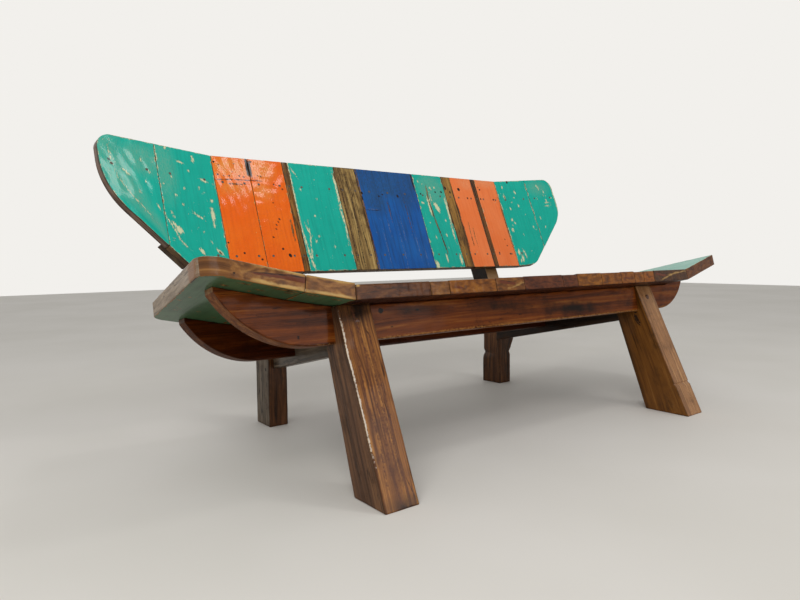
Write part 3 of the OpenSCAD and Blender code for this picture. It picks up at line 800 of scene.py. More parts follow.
@dataclass(frozen=True)
class Frames:
    """The settle's own frames: its place on the floor, the sloping seat and the leaning back."""

    seat_h: float = 451
    seat_fall: float = 12.5
    toe_ahead: float = 117
    sit_depth: float = 637
    back_bottom_h: float = 461
    back_h: float = 383
    back_lean: float = 22.3
    shift_x: float = 5.855
    shift_y: float = -500.28

    def place(self, x: Array, y: Array, z: Array) -> Array:
        """Moves points from the toes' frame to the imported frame."""
        return np.stack([x + self.shift_x, y + self.shift_y, z], 1)

    def seat(self, x: Array, v: Array, w: Array) -> Array:
        """Places points of the seat's frame: along, back and up from the front edge."""
        c, s = cos_sin(self.seat_fall)
        return self.place(x, self.toe_ahead + v * c + w * s, self.seat_h - v * s + w * c)

    def leg_v(self, c: float, lean: float, w: float) -> float:
        """Finds where a leg's face crosses a depth under the seat.

        Args:
            c: the face's place on the floor, back from the toes.
            lean: its run back for each millimetre up.
            w: the depth, up from the seat's front edge and square to the seat.

        Returns:
            The distance back along the seat.
        """
        cos, sin = cos_sin(self.seat_fall)
        return (c + (self.seat_h + w * cos) * lean - self.toe_ahead - w * sin) / (cos + sin * lean)

    def back(self, x: Array, n: Array, a: Array) -> Array:
        """Places points of the back's frame: along, rearward and up from the top edge.

        Args:
            x: distances along the back.
            n: distances behind its face.
            a: heights along its slope, 0 or less.

        Returns:
            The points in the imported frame.
        """
        c, s = cos_sin(self.back_lean)
        top_y = self.toe_ahead + self.sit_depth + self.back_h * s
        top_z = self.back_bottom_h + self.back_h * c
        return self.place(x, top_y + n * c + a * s, top_z - n * s + a * c)


FRAMES = Frames()


def mitre(a: float, b: float, t: float) -> Array:
    """Gives the offset that keeps a distance t from two stretches at angles a and b."""
    c, s = cos_sin((a + b) / 2)
    return t / cos_sin((b - a) / 2)[0] * np.array([-s, c])


@dataclass(frozen=True)
class BackBoard:
    """One upright board of the back: its paint, its marks and its own figure."""

    paint: Paint
    marks: tuple[Mark, ...] = ()
    tint: str = "#FFFFFF"


@dataclass
class Back:
    """The fifteen upright boards, whose outer two on each side bend forward as wings."""

    boards: list[BackBoard]
    mid: float = 1220
    share: tuple[float, ...] = (116, 119, 20, 175, 87, 258, 146, 46, 112, 23, 118)
    wing: tuple[float, float] = (336, 297)
    wing_split: float = 0.53
    wing_bend: float = 11.4
    wing_r: tuple[float, float] = (205, 140)
    wing_drop: tuple[float, float] = (70, 115)
    top_r: float = 42
    bottom_r: float = 60
    thick: float = 24
    gap: float = 0.8
    height: float = 383

    def angle(self, i: int) -> float:
        """Gives the turn of board i, seen along the slope."""
        return self.wing_bend if i < 2 else -self.wing_bend if i > LAST - 2 else 0.0

    def joint(self, i: int) -> Array:
        """Gives the front of the joint before board i.

        Args:
            i: the board's number, from 0 at the left.

        Returns:
            Its place along and behind the back's face.
        """
        if 2 <= i < LAST:
            return np.array([self.mid * sum(self.share[:i - 2]) / sum(self.share) - self.mid / 2, 0.0])
        side = 0 if i < 2 else 1
        u = self.wing[side] * (1 if i in (0, LAST + 1) else self.wing_split)
        c, s = cos_sin(self.wing_bend)
        return np.array([(2 * side - 1) * (self.mid / 2 + u * c), -u * s])

    def width(self, i: int) -> float:
        """Gives board i's width."""
        return float(np.linalg.norm(self.joint(i + 1) - self.joint(i)))

    def reach(self, side: int, a: Array) -> Array:
        """Gives a wing's outline as its reach from the bend.

        Args:
            side: 0 for the left wing, 1 for the right.
            a: heights from the top edge, 0 or less.

        Returns:
            The reach at each height.
        """
        length, r, drop = self.wing[side], self.wing_r[side], self.wing_drop[side]
        half = cos_sin(45)[1]
        # the long outer curve ends at p0, p1 in a slope of 45 degrees down to the rounded foot
        p0, p1 = length - r + r * half, -drop - r * half
        foot = p0 - (p1 + self.height - self.bottom_r * (1 - half)) - self.bottom_r * half
        foot_a = -self.height + self.bottom_r * (1 - half)
        top = length - self.top_r + np.sqrt(np.maximum(0, self.top_r ** 2 - (a + self.top_r) ** 2))
        curve = length - r + np.sqrt(np.maximum(0, r * r - (a + drop) ** 2))
        bottom = foot + np.sqrt(np.maximum(0, self.bottom_r ** 2 - (a - self.bottom_r + self.height) ** 2))
        return np.select([a > -self.top_r, a > -drop, a > p1, a > foot_a],
                         [top, np.full_like(a, length), curve, p0 - (p1 - a)], bottom)

    def tip(self, side: int) -> float:
        """Gives how far down the outer board of a wing runs to its pointed foot.

        Args:
            side: 0 for the left wing, 1 for the right.

        Returns:
            The distance from the top edge.
        """
        downs = np.arange(0.0, self.height, 0.5)
        wide = self.reach(side, -downs) > self.wing[side] * self.wing_split + 2.5
        return float(downs[wide].max())

    def bend(self, i: int) -> Bend:
        """Gives the bending of board i's block: down, across and rearward.

        Args:
            i: the board's number, from 0 at the left.

        Returns:
            A function that takes the block's points to their place.
        """
        start, width = self.joint(i), self.width(i)
        way = np.array(cos_sin(self.angle(i)))
        off0 = mitre(self.angle(i - 1), self.angle(i), self.thick)
        off1 = mitre(self.angle(i), self.angle(i + 1), self.thick)
        seam0 = 0.0 if i == 0 else self.gap / 2
        seam1 = 0.0 if i == LAST else self.gap / 2

        def shape(points: Array) -> Array:
            """Bends the block's points.

            Args:
                points: the block's points, one row each.

            Returns:
                The points in their place.
            """
            down, deep = points[:, 0], points[:, 2] / self.thick
            s = points[:, 1] / width
            lo, hi = np.full(len(points), seam0), np.full(len(points), width - seam1)
            if i < 2:
                outline = self.wing[0] * (1 if i == 0 else self.wing_split) - self.reach(0, -down)
                lo = np.maximum(lo, outline)
            if i > LAST - 2:
                base = 0 if i < LAST else self.wing[1] * self.wing_split
                hi = np.minimum(hi, self.reach(1, -down) - base)
            u = lo + s * (hi - lo)
            wobble = ripple(7 + i, 90, down, u + 300 * i) * 0.5 * (1 - deep)
            rough = ripple(70 + i, 34, down, deep * 20 + 100 * s)
            u = u + rough * np.where((s < 0.02) | (s > 0.98), 0.25, 0.0)
            blend = (u / width)[:, None]
            off = off0[None] * (1 - blend) + off1[None] * blend
            spot = start[None] + u[:, None] * way[None] + off * deep[:, None]
            return FRAMES.back(spot[:, 0], spot[:, 1] + wobble, -down)
        return shape

    def build(self) -> None:
        """Builds and dresses the fifteen boards."""
        tips = (self.tip(0), self.tip(1))
        for i, board in enumerate(self.boards):
            face, slot = board.paint.value
            edge = WING_EDGE if i in (0, LAST) else BACKS
            size = (tips[0] if i == 0 else tips[1] if i == LAST else self.height, self.width(i), self.thick)
            block = Block(size, (3.2, 3.2, 8.0), 1.6, (2.0, 3.5, 5.0, 7.0, 9.5, 12.0, *tips))
            finishes = {FACE: face, REAR: BACKS, LEFT: edge, RIGHT: edge, START: edge, FINISH: edge}
            Piece("back_board_%02d" % (i + 1), block, self.bend(i), finishes, slot, 11 + i, board.tint,
                  list(board.marks)).make()


def pale(across: float, down: float, long: float, wide: float, turn: float = 0) -> Mark:
    """Names a chip down to the primer."""
    return Mark(PALE, across, down, long * 0.95, wide * 0.8, turn)


def brown(across: float, down: float, long: float, wide: float, turn: float = 0) -> Mark:
    """Names a place worn to the wood."""
    return Mark(BROWN, across, down, long, wide, turn)


def black(across: float, down: float, long: float, wide: float | None = None, turn: float = 0) -> Mark:
    """Names a hole or a dark stain, round unless its width is given."""
    return Mark(BLACK, across, down, long, wide or long, turn, 2.5)


def faded(across: float, down: float, long: float, wide: float, turn: float = 0) -> Mark:
    """Names a soft patch where the finish is rubbed thin or has darkened."""
    return Mark(FADED, across, down, long, wide, turn, 18.0)


def back_boards() -> list[BackBoard]:
    """Lists the back's boards from left to right, with their marks.

    Returns:
        The fifteen boards.
    """
    p, b, k, f = pale, brown, black, faded
    return [
        BackBoard(Paint.TEAL, (
            f(40, 110, 260, 90, 20), f(110, 60, 90, 120), f(90, 240, 160, 60, 35), k(26, 77, 11, 6, 30),
            p(65, 106, 22, 7, 45), p(113, 61, 9, 7), p(133, 94, 8, 6), p(52, 160, 60, 4, 20),
            p(30, 60, 40, 4, 5), p(88, 160, 9, 6), p(140, 200, 14, 6, 20), p(74, 205, 40, 3.6, 28),
            p(118, 128, 8, 5))),
        BackBoard(Paint.TEAL, (
            f(20, 80, 160, 60), p(33, 4, 16, 9), p(115, 26, 20, 9), p(72, 44, 20, 7, 80), p(95, 69, 9, 7),
            p(38, 97, 9, 6), p(73, 129, 9, 7), p(139, 92, 24, 10, 70), p(43, 154, 8, 7),
            p(100, 210, 28, 6, 60), p(155, 157, 12, 8), p(150, 201, 46, 16), p(148, 236, 14, 8),
            p(21, 210, 9, 6), p(26, 222, 9, 6), p(36, 262, 26, 22, 30), p(24, 246, 18, 10, 40),
            p(91, 322, 20, 16), p(151, 320, 24, 14, 40), b(151, 322, 12, 7, 40),
            *line(PALE, 3.8, (4, 228), (20, 258), (34, 290), (49, 311)), p(120, 120, 8, 5), p(60, 180, 7, 5),
            p(110, 260, 7, 5), p(130, 290, 9, 5))),
        BackBoard(Paint.ORANGE, (
            *line(BLACK, 3.6, (0, 81), (30, 79), (60, 77), (90, 77), (115, 76)), f(60, 38, 76, 150),
            f(60, 105, 40, 90), k(6, 21, 7), k(20, 30, 5), k(70, 22, 5), k(12, 63, 7), k(48, 65, 6),
            k(81, 63, 6), k(60, 50, 5), k(30, 66, 5), k(95, 66, 6), k(45, 92, 6), k(5, 287, 6),
            k(49, 320, 7), k(102, 341, 7), k(112, 30, 62, 9), b(66, 92, 5, 40, 0), p(20, 40, 7, 5),
            p(88, 30, 8, 5))),
        BackBoard(Paint.ORANGE, (
            *line(BLACK, 3.4, (0, 76), (20, 75), (34, 76)), f(38, 36, 80, 90), f(30, 110, 50, 60),
            k(11, 10, 7), k(26, 58, 5), k(37, 60, 6), k(14, 66, 5), k(76, 85, 6), k(60, 150, 5),
            k(103, 100, 6), k(70, 206, 9, 5, 45), k(64, 216, 8, 4, 45), k(56, 226, 9, 4, 45),
            k(52, 240, 8, 4, 45), k(61, 307, 8), k(81, 329, 14, 10, 20), k(37, 268, 7, 5, 45),
            k(4, 35, 60, 8), b(108, 240, 60, 6))),
        BackBoard(Paint.BARE, (
            f(12, 20, 110, 30), k(6, 110, 60, 3)), "#D8B88C"),
        BackBoard(Paint.TEAL, (
            p(2, 110, 230, 5), *line(PALE, 6, (3, 242), (8, 300), (13, 346), (20, 374)),
            *line(PALE, 3.6, (28, 250), (22, 300), (16, 346)), p(28, 97, 10, 8), p(16, 33, 26, 4, 30),
            p(172, 54, 44, 20), p(169, 110, 120, 8), *line(PALE, 6, (166, 167), (172, 220), (168, 273)),
            b(173, 40, 30, 7), p(60, 190, 9, 6), p(110, 300, 8, 6), p(84, 130, 7, 5), p(24, 240, 30, 6, 20),
            p(44, 280, 9, 5), p(60, 262, 8, 5), p(30, 212, 12, 5))),
        BackBoard(Paint.BARE, (
            *line(BLACK, 3.4, (40, 25), (46, 110), (44, 207), (37, 300), (37, 377)),
            *line(BLACK, 2.6, (62, 150), (60, 230), (66, 330)),
            *line(BLACK, 2.2, (22, 40), (30, 150), (28, 220)), b(12, 200, 330, 6))),
        BackBoard(Paint.BLUE, (
            f(130, 30, 150, 330), f(60, 110, 120, 90), f(200, 90, 120, 80), b(3, 190, 383, 7),
            k(8, 95, 12, 9), k(5, 114, 22, 6), k(79, 104, 8), k(165, 99, 13, 9), k(96, 96, 7),
            *line(BLACK, 2.6, (12, 160), (40, 161), (70, 158)), p(40, 157, 3, 30), k(253, 30, 70, 5),
            p(60, 300, 60, 3.2), p(130, 320, 80, 3.0), p(200, 290, 60, 3.2), p(150, 240, 50, 3),
            p(90, 220, 40, 3), p(226, 340, 40, 3), b(110, 150, 60, 3), b(190, 180, 90, 3))),
        BackBoard(Paint.TEAL, (
            *line(BROWN, 6, (57, 53), (52, 110), (57, 180), (68, 260), (74, 321)), f(80, 60, 120, 120),
            p(51, 131, 80, 18), p(85, 136, 46, 22, 20), p(76, 56, 12, 9), p(98, 51, 10, 8), k(20, 83, 8),
            k(97, 71, 8), k(128, 69, 9), p(94, 252, 12, 10), p(65, 345, 34, 10), p(10, 370, 30, 20),
            p(134, 350, 40, 14), p(138, 150, 110, 14), p(132, 240, 60, 8), b(144, 170, 90, 7),
            p(30, 200, 8, 6), p(110, 190, 10, 6), p(66, 96, 26, 5), p(20, 120, 8, 16), p(24, 30, 9, 8),
            p(40, 260, 12, 5))),
        BackBoard(Paint.BARE, (
            k(9, 50, 16, 9), k(29, 67, 12, 8), k(30, 200, 90, 3), k(44, 120, 130, 4)), "#F0D8AE"),
        BackBoard(Paint.CORAL, (
            k(34, 51, 14), k(70, 88, 8), *line(BROWN, 3.4, (34, 200), (31, 245), (31, 288)),
            *line(BROWN, 2.6, (52, 230), (50, 260), (54, 300)), b(2, 150, 60, 5), b(2, 250, 90, 5),
            f(80, 20, 40, 60), p(36, 320, 8, 5))),
        BackBoard(Paint.BARE, (
            k(8, 60, 110, 4), k(14, 300, 80, 3)), "#A8845E"),
        BackBoard(Paint.CORAL, (
            k(18, 45, 8), k(12, 34, 5), k(8, 88, 8), k(83, 87, 9), k(24, 324, 7), k(87, 330, 8),
            k(80, 266, 6), k(82, 294, 6), f(50, 10, 30, 90), b(114, 200, 160, 5))),
        BackBoard(Paint.TEAL, (
            k(66, 6, 14, 9), p(30, 74, 24, 12), b(31, 76, 14, 5), p(33, 29, 16, 8), p(91, 54, 16, 9),
            p(89, 118, 13, 9), p(43, 130, 12, 9), p(34, 181, 14, 12), p(23, 224, 16, 14), k(23, 224, 5),
            p(44, 196, 10, 7), p(28, 205, 8, 6), p(20, 324, 26, 12), p(40, 352, 34, 16, 20),
            p(56, 336, 34, 6, 30), p(26, 362, 16, 10), p(133, 220, 10, 7), p(70, 250, 9, 6),
            p(112, 160, 7, 5), p(60, 100, 7, 5), p(80, 80, 8, 5))),
        BackBoard(Paint.TEAL, (
            p(90, 111, 6, 24), p(84, 126, 6, 24), p(88, 100, 20, 5), p(88, 59, 12, 6), p(121, 90, 7, 6),
            p(136, 80, 90, 5), p(60, 30, 14, 7), p(66, 40, 20, 5), p(30, 180, 14, 7, 30), p(60, 222, 12, 7),
            p(40, 90, 8, 5), f(60, 40, 60, 90))),
    ]


@dataclass
class Seat:
    """The fifteen short boards of the seat, with two lifted at the left and one at the right."""

    length: float = 1848
    depth: float = 515
    thick: float = 36
    lift: tuple[float, float, float] = (12.5, 10.5, 13.5)
    share: tuple[float, ...] = (207, 112, 200, 57, 154, 104, 156, 65, 112, 97, 71, 50, 59, 201, 203)
    worn: tuple[float, ...] = (0, 0, 3, 4, 3, 2, 1, 2, 0, 1, 0, 2, 1, 0, 0)
    taper: tuple[float, float] = (51, 26)
    corner: tuple[float, float, float] = (50, 9, 30)
    gap: float = 0.8
    beam_h: float = 80
    beam_t: float = 45
    rear_overhang: float = 30
    tints: Tones = ("#F2EAE0", "#F8F0E0", "#A89088", "#E6D8C4", "#E8C880", "#D4BC98", "#A47C74", "#A8806C",
                    "#EECF76", "#E8C470", "#E0B868", "#ECC878", "#F0C468", "#8A7A6C", "#B89E8E")

    def x(self, i: int) -> float:
        """Gives the joint before board i."""
        return (sum(self.share[:i]) / sum(self.share) - 0.5) * self.length

    @property
    def below(self) -> float:
        """Gives the height of the beams' upper edges."""
        return -self.thick - CLEAR

    @property
    def beam_w(self) -> float:
        """Gives the height of the beams' lower edges."""
        return self.below - self.beam_h

    @property
    def rear_v(self) -> float:
        """Gives the place of the rear beam's front face."""
        return self.depth - self.rear_overhang - self.beam_t

    def angle(self, i: int) -> float:
        """Gives the turn of board i."""
        return -self.lift[0] if i < 1 else -self.lift[1] if i == 1 else self.lift[2] if i >= LAST else 0.0

    def top(self, x: Array) -> Array:
        """Gives the height of the seat's top line at x.

        Args:
            x: places along the seat.

        Returns:
            The height at each place.
        """
        t0, t1, t2 = (math.tan(math.radians(a)) for a in self.lift)
        x1, x2, x3 = self.x(1), self.x(2), self.x(LAST)
        return np.where(x < x1, (x2 - x1) * t1 + (x1 - x) * t0,
                        np.where(x < x2, (x2 - x) * t1, np.where(x > x3, (x - x3) * t2, 0.0)))

    def under(self, x: Array) -> Array:
        """Gives the height of the boards' undersides at x, with the beams' clearance."""
        lift = np.select([x < self.x(1), x < self.x(2), x > self.x(LAST)], self.lift, 0.0)
        return self.top(x) + self.below / np.cos(np.radians(lift))

    def outer(self, side: int, v: Array) -> Array:
        """Gives the seat's outline at its left or right end.

        Args:
            side: 0 for the left end, 1 for the right.
            v: distances back from the front edge.

        Returns:
            The x of the outline.
        """
        tip = (0, self.thick * cos_sin(self.lift[2])[1])[side]
        front, rear = self.corner[side], self.corner[2]
        inset = self.taper[side] / self.depth * v
        for r, past in ((front, front - v), (rear, v - (self.depth - rear))):
            rounded = inset + r - np.sqrt(np.maximum(0, r ** 2 - past ** 2))
            inset = np.where(past > 0, rounded, inset)
        return (2 * side - 1) * (self.length / 2 + tip - inset)

    def bend(self, i: int) -> Bend:
        """Gives the bending of board i's block: back, across and down.

        Args:
            i: the board's number, from 0 at the left.

        Returns:
            A function that takes the block's points to their place.
        """
        low, high = self.x(i), self.x(i + 1)
        lean = math.radians(self.angle(i))
        drop = self.thick / math.cos(lean)
        start_w = float(self.top(np.array([low]))[0])
        low_off = float(mitre(self.angle(i - 1), self.angle(i), -self.thick)[0])
        high_off = float(mitre(self.angle(i), self.angle(i + 1), -self.thick)[0])
        seam = self.gap / 2

        def shape(points: Array) -> Array:
            """Bends the block's points.

            Args:
                points: the block's points, one row each.

            Returns:
                The points in their place.
            """
            v, s, deep = points[:, 0], points[:, 1] / (high - low), points[:, 2] / self.thick
            corners = (low + seam, high - seam, low + low_off + seam, high + high_off - seam)
            ends = [np.full(len(v), x) for x in corners]
            if i == 0:
                ends[0] = ends[2] = self.outer(0, v)
            if i == LAST:
                ends[1], ends[3] = (np.minimum(e + seam, self.outer(1, v)) for e in (ends[1], ends[3]))
            upper = ends[0] + s * (ends[1] - ends[0])
            lower = ends[2] + s * (ends[3] - ends[2])
            rough = ripple(300 + i, 46, v, deep * 30 + s * 100)
            x = upper + (lower - upper) * deep + rough * np.where((s < 0.02) | (s > 0.98), 0.25, 0.0)
            wave = ripple(330 + i, 120, v, x) * 0.6 * (1 - deep) * (v > 3)
            nose = ripple(360 + i, 40, x, deep * 25) * 0.5 * (v < 2)
            w = start_w + (x - low) * math.tan(lean) - drop * deep - (self.worn[i] + 0.3) * (1 - deep) - wave
            return FRAMES.seat(x, v + nose, w)
        return shape

    def build(self) -> None:
        """Builds and dresses the fifteen boards."""
        extra = (2.5, 4.0, 6.0, 9.0, 13.0, 18.0, self.depth - 3, self.depth - 6, self.depth - 10)
        for i in range(LAST + 1):
            end = i in (0, 1, LAST)
            block = Block((self.depth, self.x(i + 1) - self.x(i), self.thick), (6.0, 3.4, 3.0), 2.5, extra)
            finishes = {FACE: SEAT_END if end else SEAT_TOP, REAR: GREEN_UNDER if i < 2 else UNDERS,
                        START: ENDS, FINISH: ENDS, LEFT: BACKS if i else SEAT_SIDE,
                        RIGHT: SEAT_SIDE if i == LAST else BACKS}
            Piece("seat_board_%02d" % (i + 1), block, self.bend(i), finishes,
                  "seat_end_paint" if end else "seat_wood", 41 + i, self.tints[i], self.edge_marks(i), START,
                  wrap=0.0 if i else 26.0).make()

    def edge_marks(self, i: int) -> list[Mark]:
        """Lists board i's marks, on its front edge or underneath.

        Args:
            i: the board's number.

        Returns:
            Marks that lie across from the top and down from the left on the front edge, and
            across from the left and down from the front underneath.
        """
        if i == 0:
            # an open shake that widens to the right, with a chipped lower edge below it
            return [Mark(BROWN, 18, 66, 60, 80, 0, 18, LEFT), Mark(BROWN, 16.5, 92, 60, 5, -4, 1.6),
                    Mark(BROWN, 14.5, 135, 70, 8, -2, 1.6), Mark(BROWN, 13, 178, 66, 12, 0, 1.6),
                    Mark(BLACK, 26, 14, 7, 4, 0, 1.6),
                    *line(BLACK, 2.6, (16.5, 64), (12.5, 118), (9, 160), (7.5, 203)),
                    *line(PALE, 7, (31, 70), (33, 130), (31, 200)), *line(PALE, 3, (2, 110), (2, 204)),
                    *(Mark(BROWN, *at, 0, 4, REAR) for at in (
                        (85, 22, 8, 30), (165, 14, 10, 70), (190, 30, 8, 30), (60, 60, 10, 24),
                        (130, 48, 7, 34)))]
        if i == 1:
            return [*line(PALE, 3, (2, 2), (2, 110)), *line(PALE, 6, (32, 4), (33, 108)),
                    Mark(BROWN, 25, 16, 9, 36, 0, 4, REAR), Mark(BROWN, 80, 24, 8, 26, 0, 4, REAR)]
        if i == 2:
            return [*line(BLACK, 2.2, (6, 40), (14, 70), (12, 110), (20, 150)),
                    *line(BLACK, 2.0, (22, 10), (18, 60)), *line(BLACK, 2.0, (8, 90), (24, 120)),
                    Mark(PALE, 3, 5, 8, 5, 0, 2)]
        if i in (5, 13):
            return [Mark(BROWN, 14, 40, 60, 9, 8, 3), *line(BLACK, 1.6, (8, 20), (12, 60), (7, 90)),
                    *line(PALE, 2.4, (26, 60), (14, 110), (8, 170))]
        return [Mark(BROWN, 20, 30, 26, 6, 6, 3)] if i % 3 == 1 else []


@dataclass(frozen=True)
class BeamEnds:
    """Where a beam ends at each side, and the radii of its upswept ends."""

    left: float
    right: float
    left_r: float
    right_r: float


@dataclass
class Legs:
    """The splayed front legs, the bent rear legs that carry the back, and the side rails.

    The front legs' and the rails' blocks have a nominal length, which their bending replaces.
    """

    seat: Seat
    block: float = 400
    front_span: float = 1154
    front_w: float = 86
    feet: tuple[float, float] = (114, 143)
    splays: tuple[float, float] = (23, 25)
    taper: float = 42
    cheek: float = 6
    notch_h: float = 96
    rear_span: float = 982
    rear_w: float = 60
    rear_d: float = 88
    knee_h: float = 267
    post: float = 560
    post_drop: float = 40
    back_thick: float = 24
    batten_thick: float = 20
    rail_t: float = 47
    rail_h: float = 80
    rail_drop: float = 22
    rail_in: float = 3
    tenon: float = 14

    def foot(self, side: int) -> float:
        """Gives the depth of a front leg's foot."""
        return self.feet[0 if side < 0 else 1]

    def lean(self, side: int) -> float:
        """Gives the run back of a front leg's front face for each millimetre up."""
        return math.tan(math.radians(self.splays[0 if side < 0 else 1]))

    def rear_lean(self, side: int) -> float:
        """Gives the same run of its rear face, which is less, as the leg narrows."""
        return self.lean(side) - self.taper / FRAMES.seat_h

    @property
    def beam_v(self) -> float:
        """Gives the place of the front beam's front face."""
        return max(FRAMES.leg_v(0, self.lean(side), self.seat.below) for side in (-1, 1)) + self.cheek

    @property
    def bolt_w(self) -> float:
        """Gives the height of the bolts through the front legs' cheeks."""
        return (self.seat.beam_w + self.seat.below) / 2

    @property
    def post_n(self) -> float:
        """Gives the distance of the posts behind the back's face."""
        return self.back_thick + self.batten_thick + 2 * CLEAR

    @property
    def knee_y(self) -> float:
        """Gives the place of the rear legs' front faces on the floor.

        Returns:
            The distance behind the front legs' toes.
        """
        c, s = cos_sin(FRAMES.back_lean)
        return (FRAMES.toe_ahead + FRAMES.sit_depth + self.post_n * c
                + (self.knee_h - FRAMES.back_bottom_h + self.post_n * s) * s / c)

    def top_z(self, c: Array, lean: Array) -> Array:
        """Gives the height at which a leg's line that starts at c meets the seat.

        Args:
            c: places on the floor, back from the toes.
            lean: the lines' run back for each millimetre up.

        Returns:
            The height above the floor of each.
        """
        cos, sin = cos_sin(FRAMES.seat_fall)
        under = self.seat.below + FRAMES.toe_ahead * sin + FRAMES.seat_h * cos
        return (under - c * sin) / (lean * sin + cos)

    def front_bend(self, side: int) -> Bend:
        """Gives the bending of a front leg's block: up, back and outward.

        Args:
            side: -1 for the left, 1 for the right.

        Returns:
            A function that takes the block's points to their place.
        """
        foot, notch = self.foot(side), self.notch_h

        def shape(points: Array) -> Array:
            """Bends the block's points.

            Args:
                points: the block's points, one row each.

            Returns:
                The points in their place.
            """
            up, deep, out = points.T
            share = deep / foot
            lean = self.lean(side) * (1 - share) + self.rear_lean(side) * share
            z = up / self.block * self.top_z(deep, lean)
            if side > 0:
                # the old notch across the right leg's front
                cut = np.interp(z, [notch - 9, notch - 4, notch, notch + 1], [0, 5, 5, 2])
                start = np.where(z < notch - 9, 0, cut) * (1 - share) ** 6
            else:
                # a shallow hollow in the left leg's outer front corner
                waney = 3.5 * np.exp(-((z - 300) / 28) ** 2) * (out > self.front_w * 0.7)
                start = waney * (1 - share) ** 4
            face = ripple(400 + side, 110, z, out, deep) * 0.6
            y = deep + start + z * lean + face * (1 - share)
            return FRAMES.place(side * (self.front_span / 2 + (out - self.front_w / 2) + face * 0.4), y, z)
        return shape

    def rear_bend(self, side: int) -> Bend:
        """Gives the bending of a rear leg's block: up, back and outward.

        Args:
            side: -1 for the left, 1 for the right.

        Returns:
            A function that takes the block's points to their place.
        """
        c, s = cos_sin(FRAMES.back_lean)
        rise = FRAMES.back_h - self.post_drop
        top_y = FRAMES.toe_ahead + FRAMES.sit_depth + self.post_n * c + rise * s
        top_z = FRAMES.back_bottom_h - self.post_n * s + rise * c

        def shape(points: Array) -> Array:
            """Bends the block's points.

            Args:
                points: the block's points, one row each.

            Returns:
                The points in their place.
            """
            up, back, out = points[:, 0], points[:, 1] / self.rear_d, points[:, 2]
            if side > 0:
                # the old timber's waney edges: a swell under the rail, a nick on each side and a wider foot
                swell = 20 * np.exp(-((up - 180) / 32) ** 2) - 7 * np.exp(-((up - 124) / 8) ** 2)
                nick = 8 * np.exp(-((up - 116) / 8) ** 2) - 5 / (1 + np.exp((up - 102) / 6))
                share = out / self.rear_w
                out = out + swell * share ** 2 * (1 - back) ** 2 + nick * (1 - share) ** 4 * back ** 2
            t = np.clip((up - self.knee_h) / self.post, 0, 1)
            low_y, low_z = self.knee_y + back * self.rear_d, np.minimum(up, self.knee_h)
            # the post is cut square to its lean
            high_y = top_y + back * self.rear_d * c * c
            high_z = top_z - back * self.rear_d * c * s
            face = ripple(420 + side, 130, up, points[:, 1], out) * 0.5
            x = side * (self.rear_span / 2 + (out - self.rear_w / 2) + face)
            y = low_y * (1 - t) + high_y * t + face * (1 - back)
            return FRAMES.place(x, y, low_z * (1 - t) + high_z * t)
        return shape

    def rail_bend(self, side: int) -> Bend:
        """Gives the bending of a side rail's block: back, up and outward.

        Args:
            side: -1 for the left, 1 for the right.

        Returns:
            A function that takes the block's points to their place.
        """
        base = self.seat.beam_w - self.rail_drop
        fall = math.radians(FRAMES.seat_fall)
        mid = base + self.rail_h / 2
        start = FRAMES.leg_v(self.foot(side), self.rear_lean(side), mid)
        end = (self.knee_y - FRAMES.toe_ahead - mid * math.sin(fall)) / math.cos(fall)
        x0 = (self.front_span - self.front_w + self.rail_t) / 2 + self.rail_in
        x1 = (self.rear_span - self.rear_w + self.rail_t) / 2 - self.rail_in

        def shape(points: Array) -> Array:
            """Bends the block's points.

            Args:
                points: the block's points, one row each.

            Returns:
                The points in their place.
            """
            w = base + points[:, 1]
            lean = (w - mid) * math.tan(math.atan(self.rear_lean(side)) - fall)
            back = (w - mid) * -math.tan(fall)
            s = points[:, 0] / self.block
            v = (start + lean - self.tenon) * (1 - s) + (end + back + self.tenon) * s
            middle = x0 + (x1 - x0) * (v - start) / (end - start)
            face = ripple(440 + side, 90, *points.T) * 0.6
            return FRAMES.seat(side * (middle + points[:, 2] - self.rail_t / 2 + face), v, w)
        return shape

    def build(self) -> None:
        """Builds and dresses the legs and the rails."""
        streaks = [
            *line(BROWN, 4.4, (44, 20), (50, 90), (40, 160), (48, 230), (42, 300), (50, 390)),
            *line(BROWN, 3.4, (66, 60), (60, 130), (68, 210), (62, 300), (66, 370)),
            *line(BROWN, 3, (34, 60), (36, 120), (30, 200), (35, 290)),
            *line(BROWN, 3.4, (22, 30), (26, 110), (19, 190), (24, 270), (20, 350)),
            # painted highlight: a white glint along the front face's outer arris
            *line(PALE, 2.8, (84, 118), (83.6, 245), (84, 362), soft=1.3),
            # painted shade at the top of the leg, under the beam
            Mark(FADED, 48, 392, 60, 86, 0, 14), Mark(FADED, 70, 380, 40, 30, 0, 8),
            # darker at the foot
            Mark(FADED, 43, 4, 30, 90, 0, 14)]
